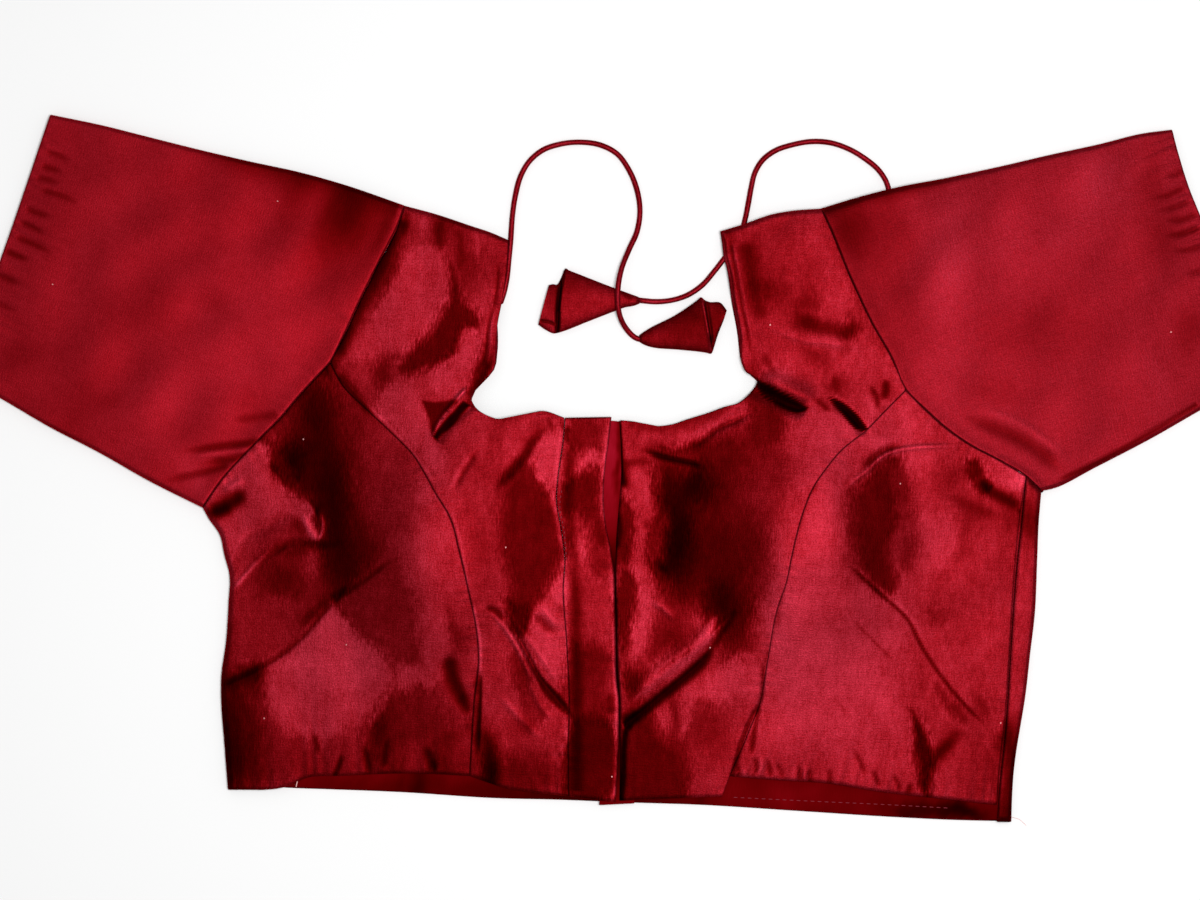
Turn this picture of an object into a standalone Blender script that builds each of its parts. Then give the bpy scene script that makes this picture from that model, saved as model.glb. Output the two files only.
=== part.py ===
"""A choli blouse laid flat with its front up, in Blender 4.5.

Run it with: blender --background --python part.py

Sizes in the tables are millimetres. The frame lies on the surface that the blouse rests on, under the
middle of its outline: +X to the right of the front, +Y to the shoulders, +Z up. Left and right are those
of someone who looks down on the front.

Each panel is a four-sided patch between its seams. A seam is a smooth line through rows of
(level, x, y). The level counts rows of cloth from the hem, 0, by the armhole's foot, 24, to the
shoulder, 36, so that two edges of one panel are joined level by level.
"""

import math

import bmesh
import bpy
import numpy as np

MM = 0.001

# Driving dimensions
FRONT_WALL = 1.5  # silk, its lining and seam allowance
BACK_WALL = 1.2
SLEEVE_WALL = 1.2
FACING_WALL = 1.0
UNDERLAP_WALL = 1.0
SEAM_GAP = 0.5  # between two panels at a seam, 0.3 at the narrowest
ARMHOLE_GAP = 0.8  # more, because the points of a sleeve and a panel differ there
LAYER_GAP = 0.3  # between cloth that lies on cloth
FRONT_REST = 5.6  # top of the front where it lies flat
SIDE_ROLL = FRONT_REST / 2  # radius of the back's fold along the right side
SIDE_DROOP = 2.0  # the front's left side sinks to the back
SIDE_DROOP_REACH = 5.0
UNDERLAP_LEFT = 10.0  # reach of the underlap below the left front, from its edge
UNDERLAP_RIGHT = 9.0
UNDERLAP_DROP = 1.5  # its hem and neck end this much lower
FACING_DEPTH = 28.0  # from the hem up
SLEEVE_CUFF_HEIGHT = 5.2
SLEEVE_HEAD_HEIGHT = 6.8
CORD_DIAMETER = 3.2
CORD_CLEAR = 0.05  # cord to the surface below
CORD_ARCH = CORD_DIAMETER + CORD_CLEAR + 2 * LAYER_GAP  # rise of the cloth over the hidden cord
CORD_ARCH_FLAT = 11.0  # half the arch's level width
CORD_ARCH_REACH = 26.0  # half its whole width
CORD_STEP = 2.8 * CORD_DIAMETER  # between the sections of a cord
LATKAN_NECK = 4.0  # thickness of the cone's cloth at the neck
LATKAN_MOUTH = 7.0
LATKAN_FLAP_HEIGHT = 4.6
LATKAN_FLAP = 0.78  # part of the length where the flap steps down
FOLD_FADE = 0.25  # part of a fold's length over which an end runs out

HEM, NECK, UNDERARM, SHOULDER = 0, 18, 24, 36  # levels
BACK_NECK = 15
SEAM_UNCOVERED = 1.2  # below it the right centre panel hides the foot of its seam
CORNER_LEVEL = 21  # above it the strip at the right side climbs along the armhole

# Seams and edges: rows of (level, x, y)
PRINCESS_LEFT = [
    (0, -81, -184), (1.8, -80, -166), (4.1, -78.5, -142), (7, -75.5, -112), (8.7, -77, -94),
    (10.7, -81, -74), (13, -86.5, -50), (15.3, -93.5, -26.5), (16.4, -101, -14.5), (17.6, -108, -2),
    (18.8, -116, 10), (19.5, -123, 17), (21.1, -141, 34), (22.5, -156, 48.5), (24, -164.5, 63.5),
]
PRINCESS_RIGHT = [
    (0, 70, -196.5), (2, 78, -176), (3.8, 86, -157), (5.5, 93, -139), (6.9, 95.5, -124),
    (8.3, 98, -109), (10.3, 102, -86), (12, 108, -67), (13.4, 111, -52), (14.7, 114.5, -37),
    (16, 119, -22.5), (17.1, 124, -11), (18.3, 132, 0.5), (19.5, 141, 11), (21, 156, 23),
    (22.5, 168, 35), (24, 180, 47),
]
ARMHOLE_LEFT_UPPER = [
    (24, -164.5, 63.5), (25.4, -159, 74), (27, -153, 86), (28.7, -147, 99.5), (30.2, -141, 111.5),
    (31.8, -135, 124), (33, -129, 134), (34.8, -123, 148), (36, -120, 157.5),
]
ARMHOLE_RIGHT_UPPER = [
    (24, 180, 47), (26.3, 171, 67), (28.7, 159, 88), (31.4, 147, 113), (34.6, 135, 142), (36, 129, 155.5),
]
PLACKET_STITCH = [
    (0, -22, -196.5), (2.7, -22, -163), (4.6, -21.5, -139), (7.5, -23, -103), (10, -25, -70),
    (11.2, -24, -55), (12.6, -26, -37), (14, -29, -19), (15.2, -28, -4), (16.9, -25, 17), (18, -24, 30.5),
]
PLACKET_EDGE = [
    (0, 6.5, -200), (2, 8, -175), (3.9, 8.5, -151), (4.9, 8.5, -139), (5.8, 7, -127), (7.7, 6.5, -103),
    (9.6, 6, -79), (11, 5.5, -61), (12, 3.5, -47.5), (13, 1, -35.5), (14, -0.5, -22), (14.9, -0.5, -10),
    (15.8, 0.5, 2), (17, 2.5, 17), (18, 4, 31),
]
NECK_LEFT = [
    (18, -24, 30.5), (19.2, -38.5, 34.5), (20, -48.5, 31), (21, -59.5, 29), (21.7, -67, 30.5),
    (22.5, -75, 34.5), (23.1, -78.5, 38.5), (23.6, -80, 43), (24.3, -76, 48.5), (25.1, -71, 53.5),
    (26, -66.5, 59.5), (27.5, -65.5, 71), (29, -64.4, 84.5), (31.2, -61.4, 101), (33, -59.2, 115.5),
    (36, -57.9, 137),
]
RIGHT_FRONT_EDGE = [
    (0, 8.5, -199), (2, 9, -175), (3.6, 9, -155.5), (4.9, 8.9, -139), (6.3, 7.8, -121),
    (8.6, 7, -91), (11.5, 6.3, -55), (12.6, 6.8, -40), (13.8, 8, -25), (15.2, 9.5, -7),
    (16.6, 9.5, 11), (18, 8.5, 29),
]
NECK_RIGHT = [
    (18, 8.5, 29), (18.7, 18, 28), (19.2, 24.5, 26), (19.8, 32.5, 25.5), (20.3, 40, 26.5),
    (21, 49, 29.5), (21.8, 62, 33.5), (22.4, 71.5, 37), (22.9, 80, 39.5), (23.3, 86, 44.5),
    (23.7, 90, 49.5), (24, 91, 52.5), (24.8, 84, 58), (25.4, 82, 62.5), (27.5, 81, 79.5),
    (30, 77.5, 98.5), (33, 74, 121), (34, 72, 127.5), (35.2, 71, 136), (36, 69.5, 142),
]
SIDE_LEFT = [
    (0, -226, -192.5), (3.8, -228, -166), (7.7, -230, -139), (9.6, -230, -125.5), (12.8, -227, -103),
    (16.2, -225.5, -79), (18.4, -225, -64), (20.1, -228, -52), (22, -231.5, -38.5),
    (23.2, -237.5, -30), (24, -241, -23.5),
]
SIDE_SEAM_RIGHT = [
    (0, 234.5, -201.5), (3.2, 236.5, -176.5), (6.5, 239.5, -149), (11, 242, -112), (15, 244, -79),
    (18.8, 246.5, -47), (21, 248.5, -28), (24, 252, -4.5),
]
SIDE_RIGHT = [
    (0, 243.5, -211.5), (2, 244, -196), (3.9, 245, -181), (5.3, 246.5, -169), (7, 249, -154),
    (8.8, 251.5, -139), (12.4, 255, -109), (15, 257.5, -88), (19, 259, -55), (22, 260, -31),
    (24, 261.5, -13.5),
]
BACK_ARMHOLE_LEFT = [
    (24, -241, -23.5), (25.3, -228, -5), (26.4, -216, 8), (27.2, -206, 18.5), (28.2, -195, 29.5),
    (29.3, -183, 43.5), (30.4, -171, 56.5), (31, -164.5, 63.5), (31.7, -159, 74), (33.1, -147, 99.5),
    (34.5, -135, 124), (35.5, -123, 148), (36, -120, 157.5),
]
BACK_ARMHOLE_RIGHT = [
    (24, 261.5, -13.5), (24.6, 252, -4.5), (25.6, 237, 4.5), (26.8, 219, 14), (27.7, 207, 22),
    (29, 192, 35), (30, 180, 47), (31.3, 171, 67), (32.6, 159, 88), (33.9, 147, 113), (35.4, 135, 142),
    (36, 129, 155.5),
]
BACK_MIDDLE = [(0, 10, -200), (5, 10, -156), (10, 10, -112), (14.5, 10, -72), (BACK_NECK, 10, -68)]
BACK_NECK_LEFT = [
    (15, 10, -68), (16, -15, -67), (17.2, -40, -58), (18.6, -60, -38), (20.4, -72, -8), (22.4, -78, 22),
    (24, -79.7, 42), (24.5, -77.6, 46.8), (25.3, -70.9, 53.6), (26.1, -66, 60), (27, -64.6, 68),
    (29.3, -64.5, 87), (31, -66.5, 100), (33, -62.6, 115), (36, -61, 137),
]
BACK_NECK_RIGHT = [
    (15, 10, -68), (16, 36, -67), (17.2, 60, -58), (18.6, 78, -38), (20.4, 86, -8), (22.4, 89, 20),
    (23.6, 92.5, 40), (24.3, 92.5, 50), (25.2, 85.5, 57.5), (26.2, 81.5, 64), (27.5, 79.5, 79.5),
    (30, 76, 98.5), (33, 72.5, 121), (34, 70.8, 127.5), (35.2, 69.8, 136), (36, 68.8, 142),
]

# Hems, shoulders and sleeve edges: rows of (part of the length, x, y)
HEM_FRONT_LEFT_SIDE = [
    (0, -226, -192.5), (0.24, -191, -190.5), (0.34, -177.5, -185), (0.47, -158.5, -184),
    (0.8, -110.5, -182.5), (1, -81, -184),
]
HEM_FRONT_LEFT = [(0, -81, -184), (0.32, -62.5, -190.5), (1, -22, -196.5)]
HEM_PLACKET = [(0, -22, -196.5), (1, 6.5, -200)]
HEM_FRONT_RIGHT = [(0, 9.5, -199), (1, 70, -196.5)]
HEM_FRONT_RIGHT_SIDE = [
    (0, 75.5, -184), (0.19, 105, -186.5), (0.38, 135, -188.5), (0.57, 165, -193.5), (0.75, 195, -197),
    (1, 234.5, -201.5),
]
HEM_BACK_LEFT = [
    (0, -226, -192.5), (0.07, -210, -191), (0.18, -183, -192), (0.44, -123, -194.5), (0.7, -63, -198.5),
    (0.85, -27, -199.5), (1, 10, -201),
]
HEM_BACK_RIGHT = [
    (0, 10, -201), (0.2, 57, -202.5), (0.46, 117, -206), (0.72, 177, -209.5), (0.88, 213, -211),
    (1, 241, -211.5),
]
FACING_ENDS = [(-216, -190.6), (236, -210.5)]  # x, y of its lower corners
FACING_ABOVE_HEM = 1
SHOULDER_LEFT = [
    (0, -120, 157.5), (0.3, -101.5, 152.5), (0.67, -79, 145), (0.84, -68.5, 141.5), (1, -57.9, 137),
]
SHOULDER_RIGHT = [
    (0, 69.5, 142), (0.25, 84, 146.5), (0.51, 99.5, 152), (0.68, 110, 154), (1, 129, 155.5),
]
SLEEVE_LEFT_TOP = [
    (0, -332, 212), (0.13, -303, 206), (0.28, -273, 198.5), (0.42, -243, 191), (0.56, -213, 184),
    (0.7, -183, 177.5), (0.85, -153, 169), (1, -120, 157.5),
]
SLEEVE_LEFT_LOW = [
    (0, -387, 55.5), (0.16, -363, 42.5), (0.36, -333, 25), (0.57, -303, 9.5), (0.78, -273, -7.5),
    (1, -241, -23.5),
]
CUFF_LEFT = [(0, -387, 55.5), (0.5, -359, 133), (1, -332, 212)]
SLEEVE_RIGHT_TOP = [
    (0, 339.5, 203), (0.09, 321, 200.5), (0.2, 297, 194.5), (0.34, 267, 188), (0.48, 237, 181),
    (0.62, 207, 174.5), (0.79, 172, 167.5), (0.91, 147, 161), (1, 129, 155.5),
]
SLEEVE_RIGHT_LOW = [
    (0, 388, 52), (0.25, 356, 34.5), (0.46, 329, 19), (0.74, 293.5, 0.5), (0.92, 270, -11.5),
    (1, 261.5, -13.5),
]
CUFF_RIGHT = [
    (0, 388, 52), (0.47, 366, 124), (0.66, 356, 152), (0.76, 350, 167), (0.92, 342.5, 191),
    (1, 339.5, 203),
]

# Largest folds of the front: a crest, or a trough where the height is negative, along a route.
# Columns: height, reach to the left of the route, reach to its right, fades in, fades out, route
FOLDS = [
    (-4.0, 9, 9, False, True, [(-228, -127.5), (-212, -121.5), (-187, -100.5), (-165, -81), (-125, -52)]),
    (-3.0, 9, 9, True, False, [(142, -54), (168, -79), (177, -90), (196, -118), (224, -149), (238, -158)]),
    (-4.5, 8, 9, False, True, [(11.5, -155), (27, -144), (58, -117), (67, -99), (79, -83)]),
    (4.5, 10, 8, True, True, [(15, -130), (40, -115), (64, -94), (77, -80)]),
    (3.5, 9, 9, True, True, [(-76, -80), (-62, -86), (-53, -100), (-41, -118), (-32, -131), (-19, -148)]),
    (-4.0, 8, 8, True, True, [(-114, 52), (-108, 34), (-100, 14)]),
    (3.5, 8, 8, True, True, [(-82, 48), (-90, 35), (-101, 22)]),
    (5.5, 26, 6, False, True, [(90, 57), (103, 50), (116, 45), (128, 43), (140, 42), (157, 27)]),
    (3.0, 9, 12, True, True, [(141, -16), (159.5, -2), (177.5, 10), (214, 15)]),
]

# Puff of the cups: rows of (height, x, y, reach across, reach along)
CUPS = [(12.0, -100, -52, 52, 72), (12.0, 122, -44, 50, 70)]

# Tie cords, from the neck edge where each is sewn on: rows of (x, y, height of the middle above rest)
DORI_LEFT_ROUTE = [
    (-63, 98, 0), (-60.4, 106, 0), (-58.6, 115, 0), (-57.6, 125, 0), (-56.5, 137, 0), (-55.4, 152, 0),
    (-53.6, 164, 0), (-50.4, 175.5, 0), (-45, 184.5, 0), (-37, 191, 0), (-27, 194.4, 0), (-14.4, 195.6, 0),
    (-3, 194, 0), (7.2, 188.7, 0), (14.4, 179, 0), (19.2, 167, 0), (21, 154, 0), (19.2, 142, 0.3),
    (14.4, 131, 1.7), (9.8, 119, 4.1), (7.8, 108, 5.5), (7.8, 97, 5.3), (9.6, 89.5, 3.2), (13, 83.5, 1),
    (18.7, 78.2, 0),
]
DORI_RIGHT_ROUTE = [
    (106, 121.5, 0), (120, 127, 0), (138, 133.5, 0), (153, 142, 0), (165, 152.7, 0), (170.4, 162, 0),
    (169.2, 170.5, 0), (164.4, 178.5, 0), (156, 185.7, 0), (145.8, 191.7, 0), (135, 195.3, 0),
    (124.2, 196, 0), (112.2, 194, 0), (102, 190.5, 0), (94.2, 184.5, 0), (90, 177.5, 0), (87.6, 168, 0),
    (85.8, 158, 0), (83.7, 148, 0), (81.6, 140.7, 0), (77.4, 133.5, 0), (71.4, 125.7, 0), (65.4, 118, 0),
    (58.2, 109.8, 0), (49.2, 103.8, 0), (39.6, 100.8, 0), (30, 100, 0), (21.9, 100.7, 0),
]
HIDDEN_RUNS = [  # stretches of the right cord that pass under the cloth
    [(106, 121.5), (120, 127), (138, 133.5), (153, 142), (165, 152.7), (170.4, 162), (169.2, 172)],
    [(85.8, 156), (83.7, 148), (81.6, 140.7), (77.4, 133.5), (71.4, 125.7), (66, 118)],
]

# Cloth cones: rows of (part of the length, upper edge x, y, lower edge x, y), from the tip to the flap
LATKAN_LEFT = [
    (0, 21.2, 102.4, 20.8, 98.9), (0.04, 18, 103.6, 18, 97.8), (0.14, 12, 105.8, 12, 96.6),
    (0.24, 6, 108, 6, 94.4), (0.5, -8, 113.4, -10.5, 88), (0.72, -21.6, 118.7, -25.6, 82.1),
    (0.76, -24, 119.6, -28, 81.4), (0.79, -26, 115, -29.3, 81.1), (0.83, -28, 110.9, -31, 81),
    (0.9, -31, 110.5, -35, 82.8), (1, -33.6, 110, -40, 86.2),
]
LATKAN_RIGHT = [
    (0, 20.6, 80, 20.4, 76.2), (0.05, 23, 81.7, 22.6, 74.7), (0.14, 27, 84.2, 27, 73),
    (0.4, 42, 91.8, 45, 71.2), (0.66, 55.5, 101, 61.3, 69.3), (0.7, 57.6, 102.6, 63.6, 68.8),
    (0.73, 59.4, 101.3, 64.4, 69.8), (0.79, 62.4, 99.9, 65.6, 73.4), (0.92, 69.6, 99.1, 68.2, 81.5),
    (1, 73, 94.8, 70.8, 88),
]

# Faces across a cone of cloth and along it, and across a sleeve and along it
CONE_COLUMNS = 6
CONE_ROWS = 14
SLEEVE_COLUMNS = 13
SLEEVE_ROWS = 10


def line(rows):
    """A smooth line through rows of (level, x, y, ...): a function that gives the points at any levels."""
    table = np.array(rows, float)
    level, points = table[:, 0], table[:, 1:]
    slope = np.gradient(points, level, axis=0)

    def at(where):
        where = np.asarray(where, float)
        k = np.clip(np.searchsorted(level, where, side="right") - 1, 0, len(level) - 2)
        step = (level[k + 1] - level[k])[..., None]
        t = (where - level[k])[..., None] / step
        start = (2 * t**3 - 3 * t**2 + 1) * points[k] + (t**3 - 2 * t**2 + t) * step * slope[k]
        end = (3 * t**2 - 2 * t**3) * points[k + 1] + (t**3 - t**2) * step * slope[k + 1]
        return start + end

    return at


def joined(*lines_and_ends):
    """One line from pairs of (line, its last level): each serves the levels up to its last."""

    def at(where):
        where = np.asarray(where, float)
        points = lines_and_ends[0][0](where)
        for (_, last), (follower, _) in zip(lines_and_ends, lines_and_ends[1:]):
            points = np.where((where > last)[..., None], follower(where), points)
        return points

    return at


def bulge(edge, across):
    """How far an edge bows from its own chord."""
    first, last = edge(0.0), edge(1.0)
    u = across[..., None]
    return edge(across) - (1 - u) * first - u * last


def patch(left, right, low, high, levels, across):
    """Coons patch: two edges by level, a hem and a head by part of the width. Gives (rows, columns, 2)."""
    part = (levels - levels[0]) / (levels[-1] - levels[0])
    v, u = part[:, None, None], across[None, :, None]
    sides = (1 - u) * left(levels)[:, None] + u * right(levels)[:, None]
    return sides + (1 - v) * bulge(low, across) + v * bulge(high, across)


def inset(points, gap):
    """Moves the outline of a patch inwards by the gap, square to each edge."""
    moved = points.copy()
    edges_and_neighbours = [
        (moved[0], points[1]),
        (moved[-1], points[-2]),
        (moved[:, 0], points[:, 1]),
        (moved[:, -1], points[:, -2]),
    ]
    for edge, inner in edges_and_neighbours:
        along = np.gradient(edge, axis=0)
        square = np.stack([-along[:, 1], along[:, 0]], axis=1)
        square /= np.linalg.norm(square, axis=1)[:, None]
        inward = np.sign(np.sum((inner - edge) * square, axis=1))[:, None]
        edge += gap * inward * square
    return moved


def smooth_step(value):
    value = np.clip(value, 0, 1)
    return value * value * (3 - 2 * value)


def to_route(x, y, route):
    """Signed distance to a broken line, positive on its left, and the part of its length there."""
    route = np.array(route, float)
    start, run = route[:-1], np.diff(route, axis=0)
    size = np.linalg.norm(run, axis=1)
    offset = np.stack([x, y], axis=-1)[..., None, :] - start
    t = np.clip(np.sum(offset * run, axis=-1) / size**2, 0, 1)
    away = offset - t[..., None] * run
    distance = np.linalg.norm(away, axis=-1)
    nearest = np.argmin(distance, axis=-1)[..., None]
    side = run[:, 0] * offset[..., 1] - run[:, 1] * offset[..., 0]
    side = np.take_along_axis(side, nearest, axis=-1)[..., 0]
    before = np.concatenate([[0], np.cumsum(size)[:-1]])
    passed = np.take_along_axis(before + t * size, nearest, axis=-1)[..., 0] / size.sum()
    return np.sign(side) * np.take_along_axis(distance, nearest, axis=-1)[..., 0], passed


def fold(x, y, height, reach_left, reach_right, fades_in, fades_out, route):
    """Bell-shaped crest or trough along a route, with its own reach on each side."""
    distance, passed = to_route(x, y, route)
    reach = np.where(distance > 0, reach_left, reach_right)
    size = height * np.exp(-((distance / reach) ** 2))
    if fades_in:
        size = size * smooth_step(passed / FOLD_FADE)
    if fades_out:
        size = size * smooth_step((1 - passed) / FOLD_FADE)
    return size


def arch(x, y):
    """Rise of every layer over the hidden stretches of the right cord."""
    rise = np.zeros_like(x)
    slope = CORD_ARCH_REACH - CORD_ARCH_FLAT
    for run in HIDDEN_RUNS:
        distance, _ = to_route(x, y, run)
        down = smooth_step((np.abs(distance) - CORD_ARCH_FLAT) / slope)
        rise = np.maximum(rise, CORD_ARCH * (1 - down))
    return rise


def front_top(x, y):
    """Height of the front's outer face."""
    lowest = FRONT_REST + arch(x, y)
    height = lowest
    for rise, middle_x, middle_y, across, along in CUPS:
        away = ((x - middle_x) / across) ** 2 + ((y - middle_y) / along) ** 2
        height = height + rise * np.exp(-away)
    for row in FOLDS:
        height = height + fold(x, y, *row)
    height = np.maximum(height, lowest)
    side, _ = to_route(x, y, [row[1:] for row in SIDE_LEFT])
    return height - SIDE_DROOP * np.exp(-np.abs(side) / SIDE_DROOP_REACH)


def add_grid(mesh, points, flipped=False, closed=False):
    """Adds an array (rows, columns, 3) of points in millimetres as quads that face up, or down if flipped."""
    rows, columns = points.shape[:2]
    corners = [[mesh.verts.new(point * MM) for point in row] for row in points]
    for i in range(rows - 1):
        for j in range(columns if closed else columns - 1):
            k = (j + 1) % columns
            quad = [corners[i][j], corners[i][k], corners[i + 1][k], corners[i + 1][j]]
            mesh.faces.new(quad[::-1] if flipped else quad)


def new_object(name, mesh, material):
    data = bpy.data.meshes.new(name)
    mesh.to_mesh(data)
    mesh.free()
    made = bpy.data.objects.new(name, data)
    finish(made, material)
    data.shade_smooth()
    data.set_sharp_from_angle(angle=math.radians(50))
    return made


def finish(made, material):
    made.data.materials.append(material)
    bpy.data.collections["choli_blouse"].objects.link(made)


def sheet(name, outline, top, bottom, material, gap=SEAM_GAP / 2):
    """Cloth over a patch: its outer face at top(x, y), extruded straight down to bottom(x, y)."""
    outline = inset(outline, gap)
    x, y = outline[..., 0], outline[..., 1]
    mesh = bmesh.new()
    add_grid(mesh, np.dstack([x, y, top(x, y)]))
    made = bmesh.ops.extrude_face_region(mesh, geom=mesh.faces[:])
    lower = [item for item in made["geom"] if isinstance(item, bmesh.types.BMVert)]
    place = np.array([vert.co for vert in lower]) / MM
    for vert, depth in zip(lower, bottom(place[:, 0], place[:, 1])):
        vert.co.z = depth * MM
    bmesh.ops.recalc_face_normals(mesh, faces=mesh.faces[:])
    return new_object(name, mesh, material)


def thicken(made, wall):
    """Gives an open surface its wall, inwards from the outer face."""
    modifier = made.modifiers.new("Wall", "SOLIDIFY")
    modifier.thickness = wall * MM
    modifier.offset = -1
    return made


def levels(first, last, rows):
    return np.linspace(first, last, rows + 1)


def straight(first, last):
    return line([(0, *first), (1, *last)])


def armhole_edge(rows, first, last):
    """The stretch of an armhole from one of its levels to another, by part of its length."""
    stretch = [row for row in rows if min(first, last) <= row[0] <= max(first, last)]
    if first > last:
        stretch.reverse()
    return line([((row[0] - first) / (last - first), *row[1:]) for row in stretch])


def make_fronts(silk):
    """Centre panels up to the shoulders, side panels up to the armholes, and the placket's band."""
    left_seam = joined((line(PRINCESS_LEFT), UNDERARM), (line(ARMHOLE_LEFT_UPPER), SHOULDER))
    right_seam = joined((line(PRINCESS_RIGHT), UNDERARM), (line(ARMHOLE_RIGHT_UPPER), SHOULDER))
    left_neck = joined((line(PLACKET_STITCH), NECK), (line(NECK_LEFT), SHOULDER))
    right_neck = joined((line(RIGHT_FRONT_EDGE), NECK), (line(NECK_RIGHT), SHOULDER))

    def right_side_seam(level):
        """The princess seam from where the centre panel's fold uncovers it."""
        return line(PRINCESS_RIGHT)(SEAM_UNCOVERED + level * (1 - SEAM_UNCOVERED / UNDERARM))

    # Columns: left edge, right edge, hem, head, top level, rows, columns
    panels = {
        "front_left_centre": (
            left_seam, left_neck, line(HEM_FRONT_LEFT), line(SHOULDER_LEFT), SHOULDER, 36, 8,
        ),
        "front_left_side": (
            line(SIDE_LEFT), line(PRINCESS_LEFT), line(HEM_FRONT_LEFT_SIDE),
            armhole_edge(BACK_ARMHOLE_LEFT, 24, 31), UNDERARM, 24, 11,
        ),
        "placket_overlap": (
            line(PLACKET_STITCH), line(PLACKET_EDGE), line(HEM_PLACKET), straight((-24, 30.5), (4, 31)),
            NECK, 20, 3,
        ),
        "front_right_centre": (
            right_neck, right_seam, line(HEM_FRONT_RIGHT), line(SHOULDER_RIGHT), SHOULDER, 36, 9,
        ),
        "front_right_side": (
            right_side_seam, line(SIDE_SEAM_RIGHT), line(HEM_FRONT_RIGHT_SIDE),
            armhole_edge(BACK_ARMHOLE_RIGHT, 30, 24.6), UNDERARM, 24, 10,
        ),
    }
    for name, (left, right, low, high, last, rows, columns) in panels.items():
        outline = patch(left, right, low, high, levels(HEM, last, rows), levels(0, 1, columns))
        sheet(name, outline, front_top, lambda x, y: front_top(x, y) - FRONT_WALL, silk)


def make_underlap(lining):
    """Strip of lining under both fronts, from the neck to the hem."""
    left = [(level, x - UNDERLAP_LEFT, y - UNDERLAP_DROP) for level, x, y in PLACKET_EDGE]
    right = [(level, x + UNDERLAP_RIGHT, y - UNDERLAP_DROP) for level, x, y in RIGHT_FRONT_EDGE]
    low, high = straight(left[0][1:], right[0][1:]), straight(left[-1][1:], right[-1][1:])
    outline = patch(line(left), line(right), low, high, levels(HEM, NECK, 18), levels(0, 1, 3))

    def top(x, y):
        return front_top(x, y) - FRONT_WALL - LAYER_GAP

    sheet("placket_underlap", outline, top, lambda x, y: top(x, y) - UNDERLAP_WALL, lining, gap=0)


def make_back(silk, lining):
    """Back panel: two patches that meet at the middle below the neck, and a fold round the right side."""
    rows, across = levels(HEM, SHOULDER, 36), levels(0, 1, 9)
    side_left = joined((line(SIDE_LEFT), UNDERARM), (line(BACK_ARMHOLE_LEFT), SHOULDER))
    middle = line(BACK_MIDDLE)
    neck_left = joined((middle, BACK_NECK), (line(BACK_NECK_LEFT), SHOULDER))
    neck_right = joined((middle, BACK_NECK), (line(BACK_NECK_RIGHT), SHOULDER))
    foot = [(level, x - SIDE_ROLL, y) for level, x, y in SIDE_RIGHT]
    side_right = joined((line(foot), UNDERARM), (line([foot[-1], *BACK_ARMHOLE_RIGHT[1:]]), SHOULDER))
    left = patch(side_left, neck_left, line(HEM_BACK_LEFT), line(SHOULDER_LEFT), rows, across)
    right = patch(neck_right, side_right, line(HEM_BACK_RIGHT), line(SHOULDER_RIGHT), rows, across)
    left_inset, right_inset = inset(left, SEAM_GAP / 2), inset(right, SEAM_GAP / 2)
    left_inset[: BACK_NECK + 1, -1] = left[: BACK_NECK + 1, -1]
    right_inset[: BACK_NECK + 1, 0] = right[: BACK_NECK + 1, 0]
    mesh = bmesh.new()
    for flat in (left_inset, right_inset):
        add_grid(mesh, np.dstack([flat, arch(flat[..., 0], flat[..., 1])]), flipped=True)

    edge = right_inset[: UNDERARM + 1, -1]
    turn = np.radians(np.linspace(-90, 90, 7))
    places = levels(HEM, UNDERARM, UNDERARM)
    seam = line(SIDE_SEAM_RIGHT)(places)
    to_seam = np.array([0.5, 1.0])
    strip_x = edge[:, :1] + (seam[:, :1] + SEAM_GAP / 2 - edge[:, :1]) * to_seam
    climb = smooth_step((places - CORNER_LEVEL) / (UNDERARM - CORNER_LEVEL))[:, None]
    strip_y = edge[:, 1:] + climb * (seam[:, 1:] - ARMHOLE_GAP - edge[:, 1:]) * to_seam
    wrap_x = np.hstack([edge[:, :1] + SIDE_ROLL * np.cos(turn), strip_x])
    wrap_y = np.hstack([np.repeat(edge[:, 1:], len(turn), axis=1), strip_y])
    wrap_z = np.concatenate([SIDE_ROLL * (1 + np.sin(turn)), np.full(len(to_seam), FRONT_REST)])
    wrap_z = np.repeat([wrap_z], len(edge), axis=0)
    add_grid(mesh, np.dstack([wrap_x, wrap_y, wrap_z]), flipped=True)
    bmesh.ops.remove_doubles(mesh, verts=mesh.verts[:], dist=0.01 * MM)
    thicken(new_object("back_panel", mesh, silk), BACK_WALL)
    make_facing(lining)


def make_facing(lining):
    """Strip of lining on the back's inner face, along the hem."""
    rise = BACK_WALL + LAYER_GAP
    low = [(0, *FACING_ENDS[0])]
    low += [(t / 2, x, y + FACING_ABOVE_HEM) for t, x, y in HEM_BACK_LEFT[1:]]
    low += [((1 + t) / 2, x, y + FACING_ABOVE_HEM) for t, x, y in HEM_BACK_RIGHT[1:-1]]
    low += [(1, *FACING_ENDS[1])]
    high = [(t, x, y + FACING_DEPTH) for t, x, y in low]
    left_end, right_end = (straight(low[k][1:], high[k][1:]) for k in (0, -1))
    outline = patch(left_end, right_end, line(low), line(high), levels(0, 1, 2), levels(0, 1, 30))

    def at(height):
        return lambda x, y: np.full_like(x, height)

    sheet("back_hem_facing", outline, at(rise + FACING_WALL), at(rise), lining, gap=0)


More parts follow.
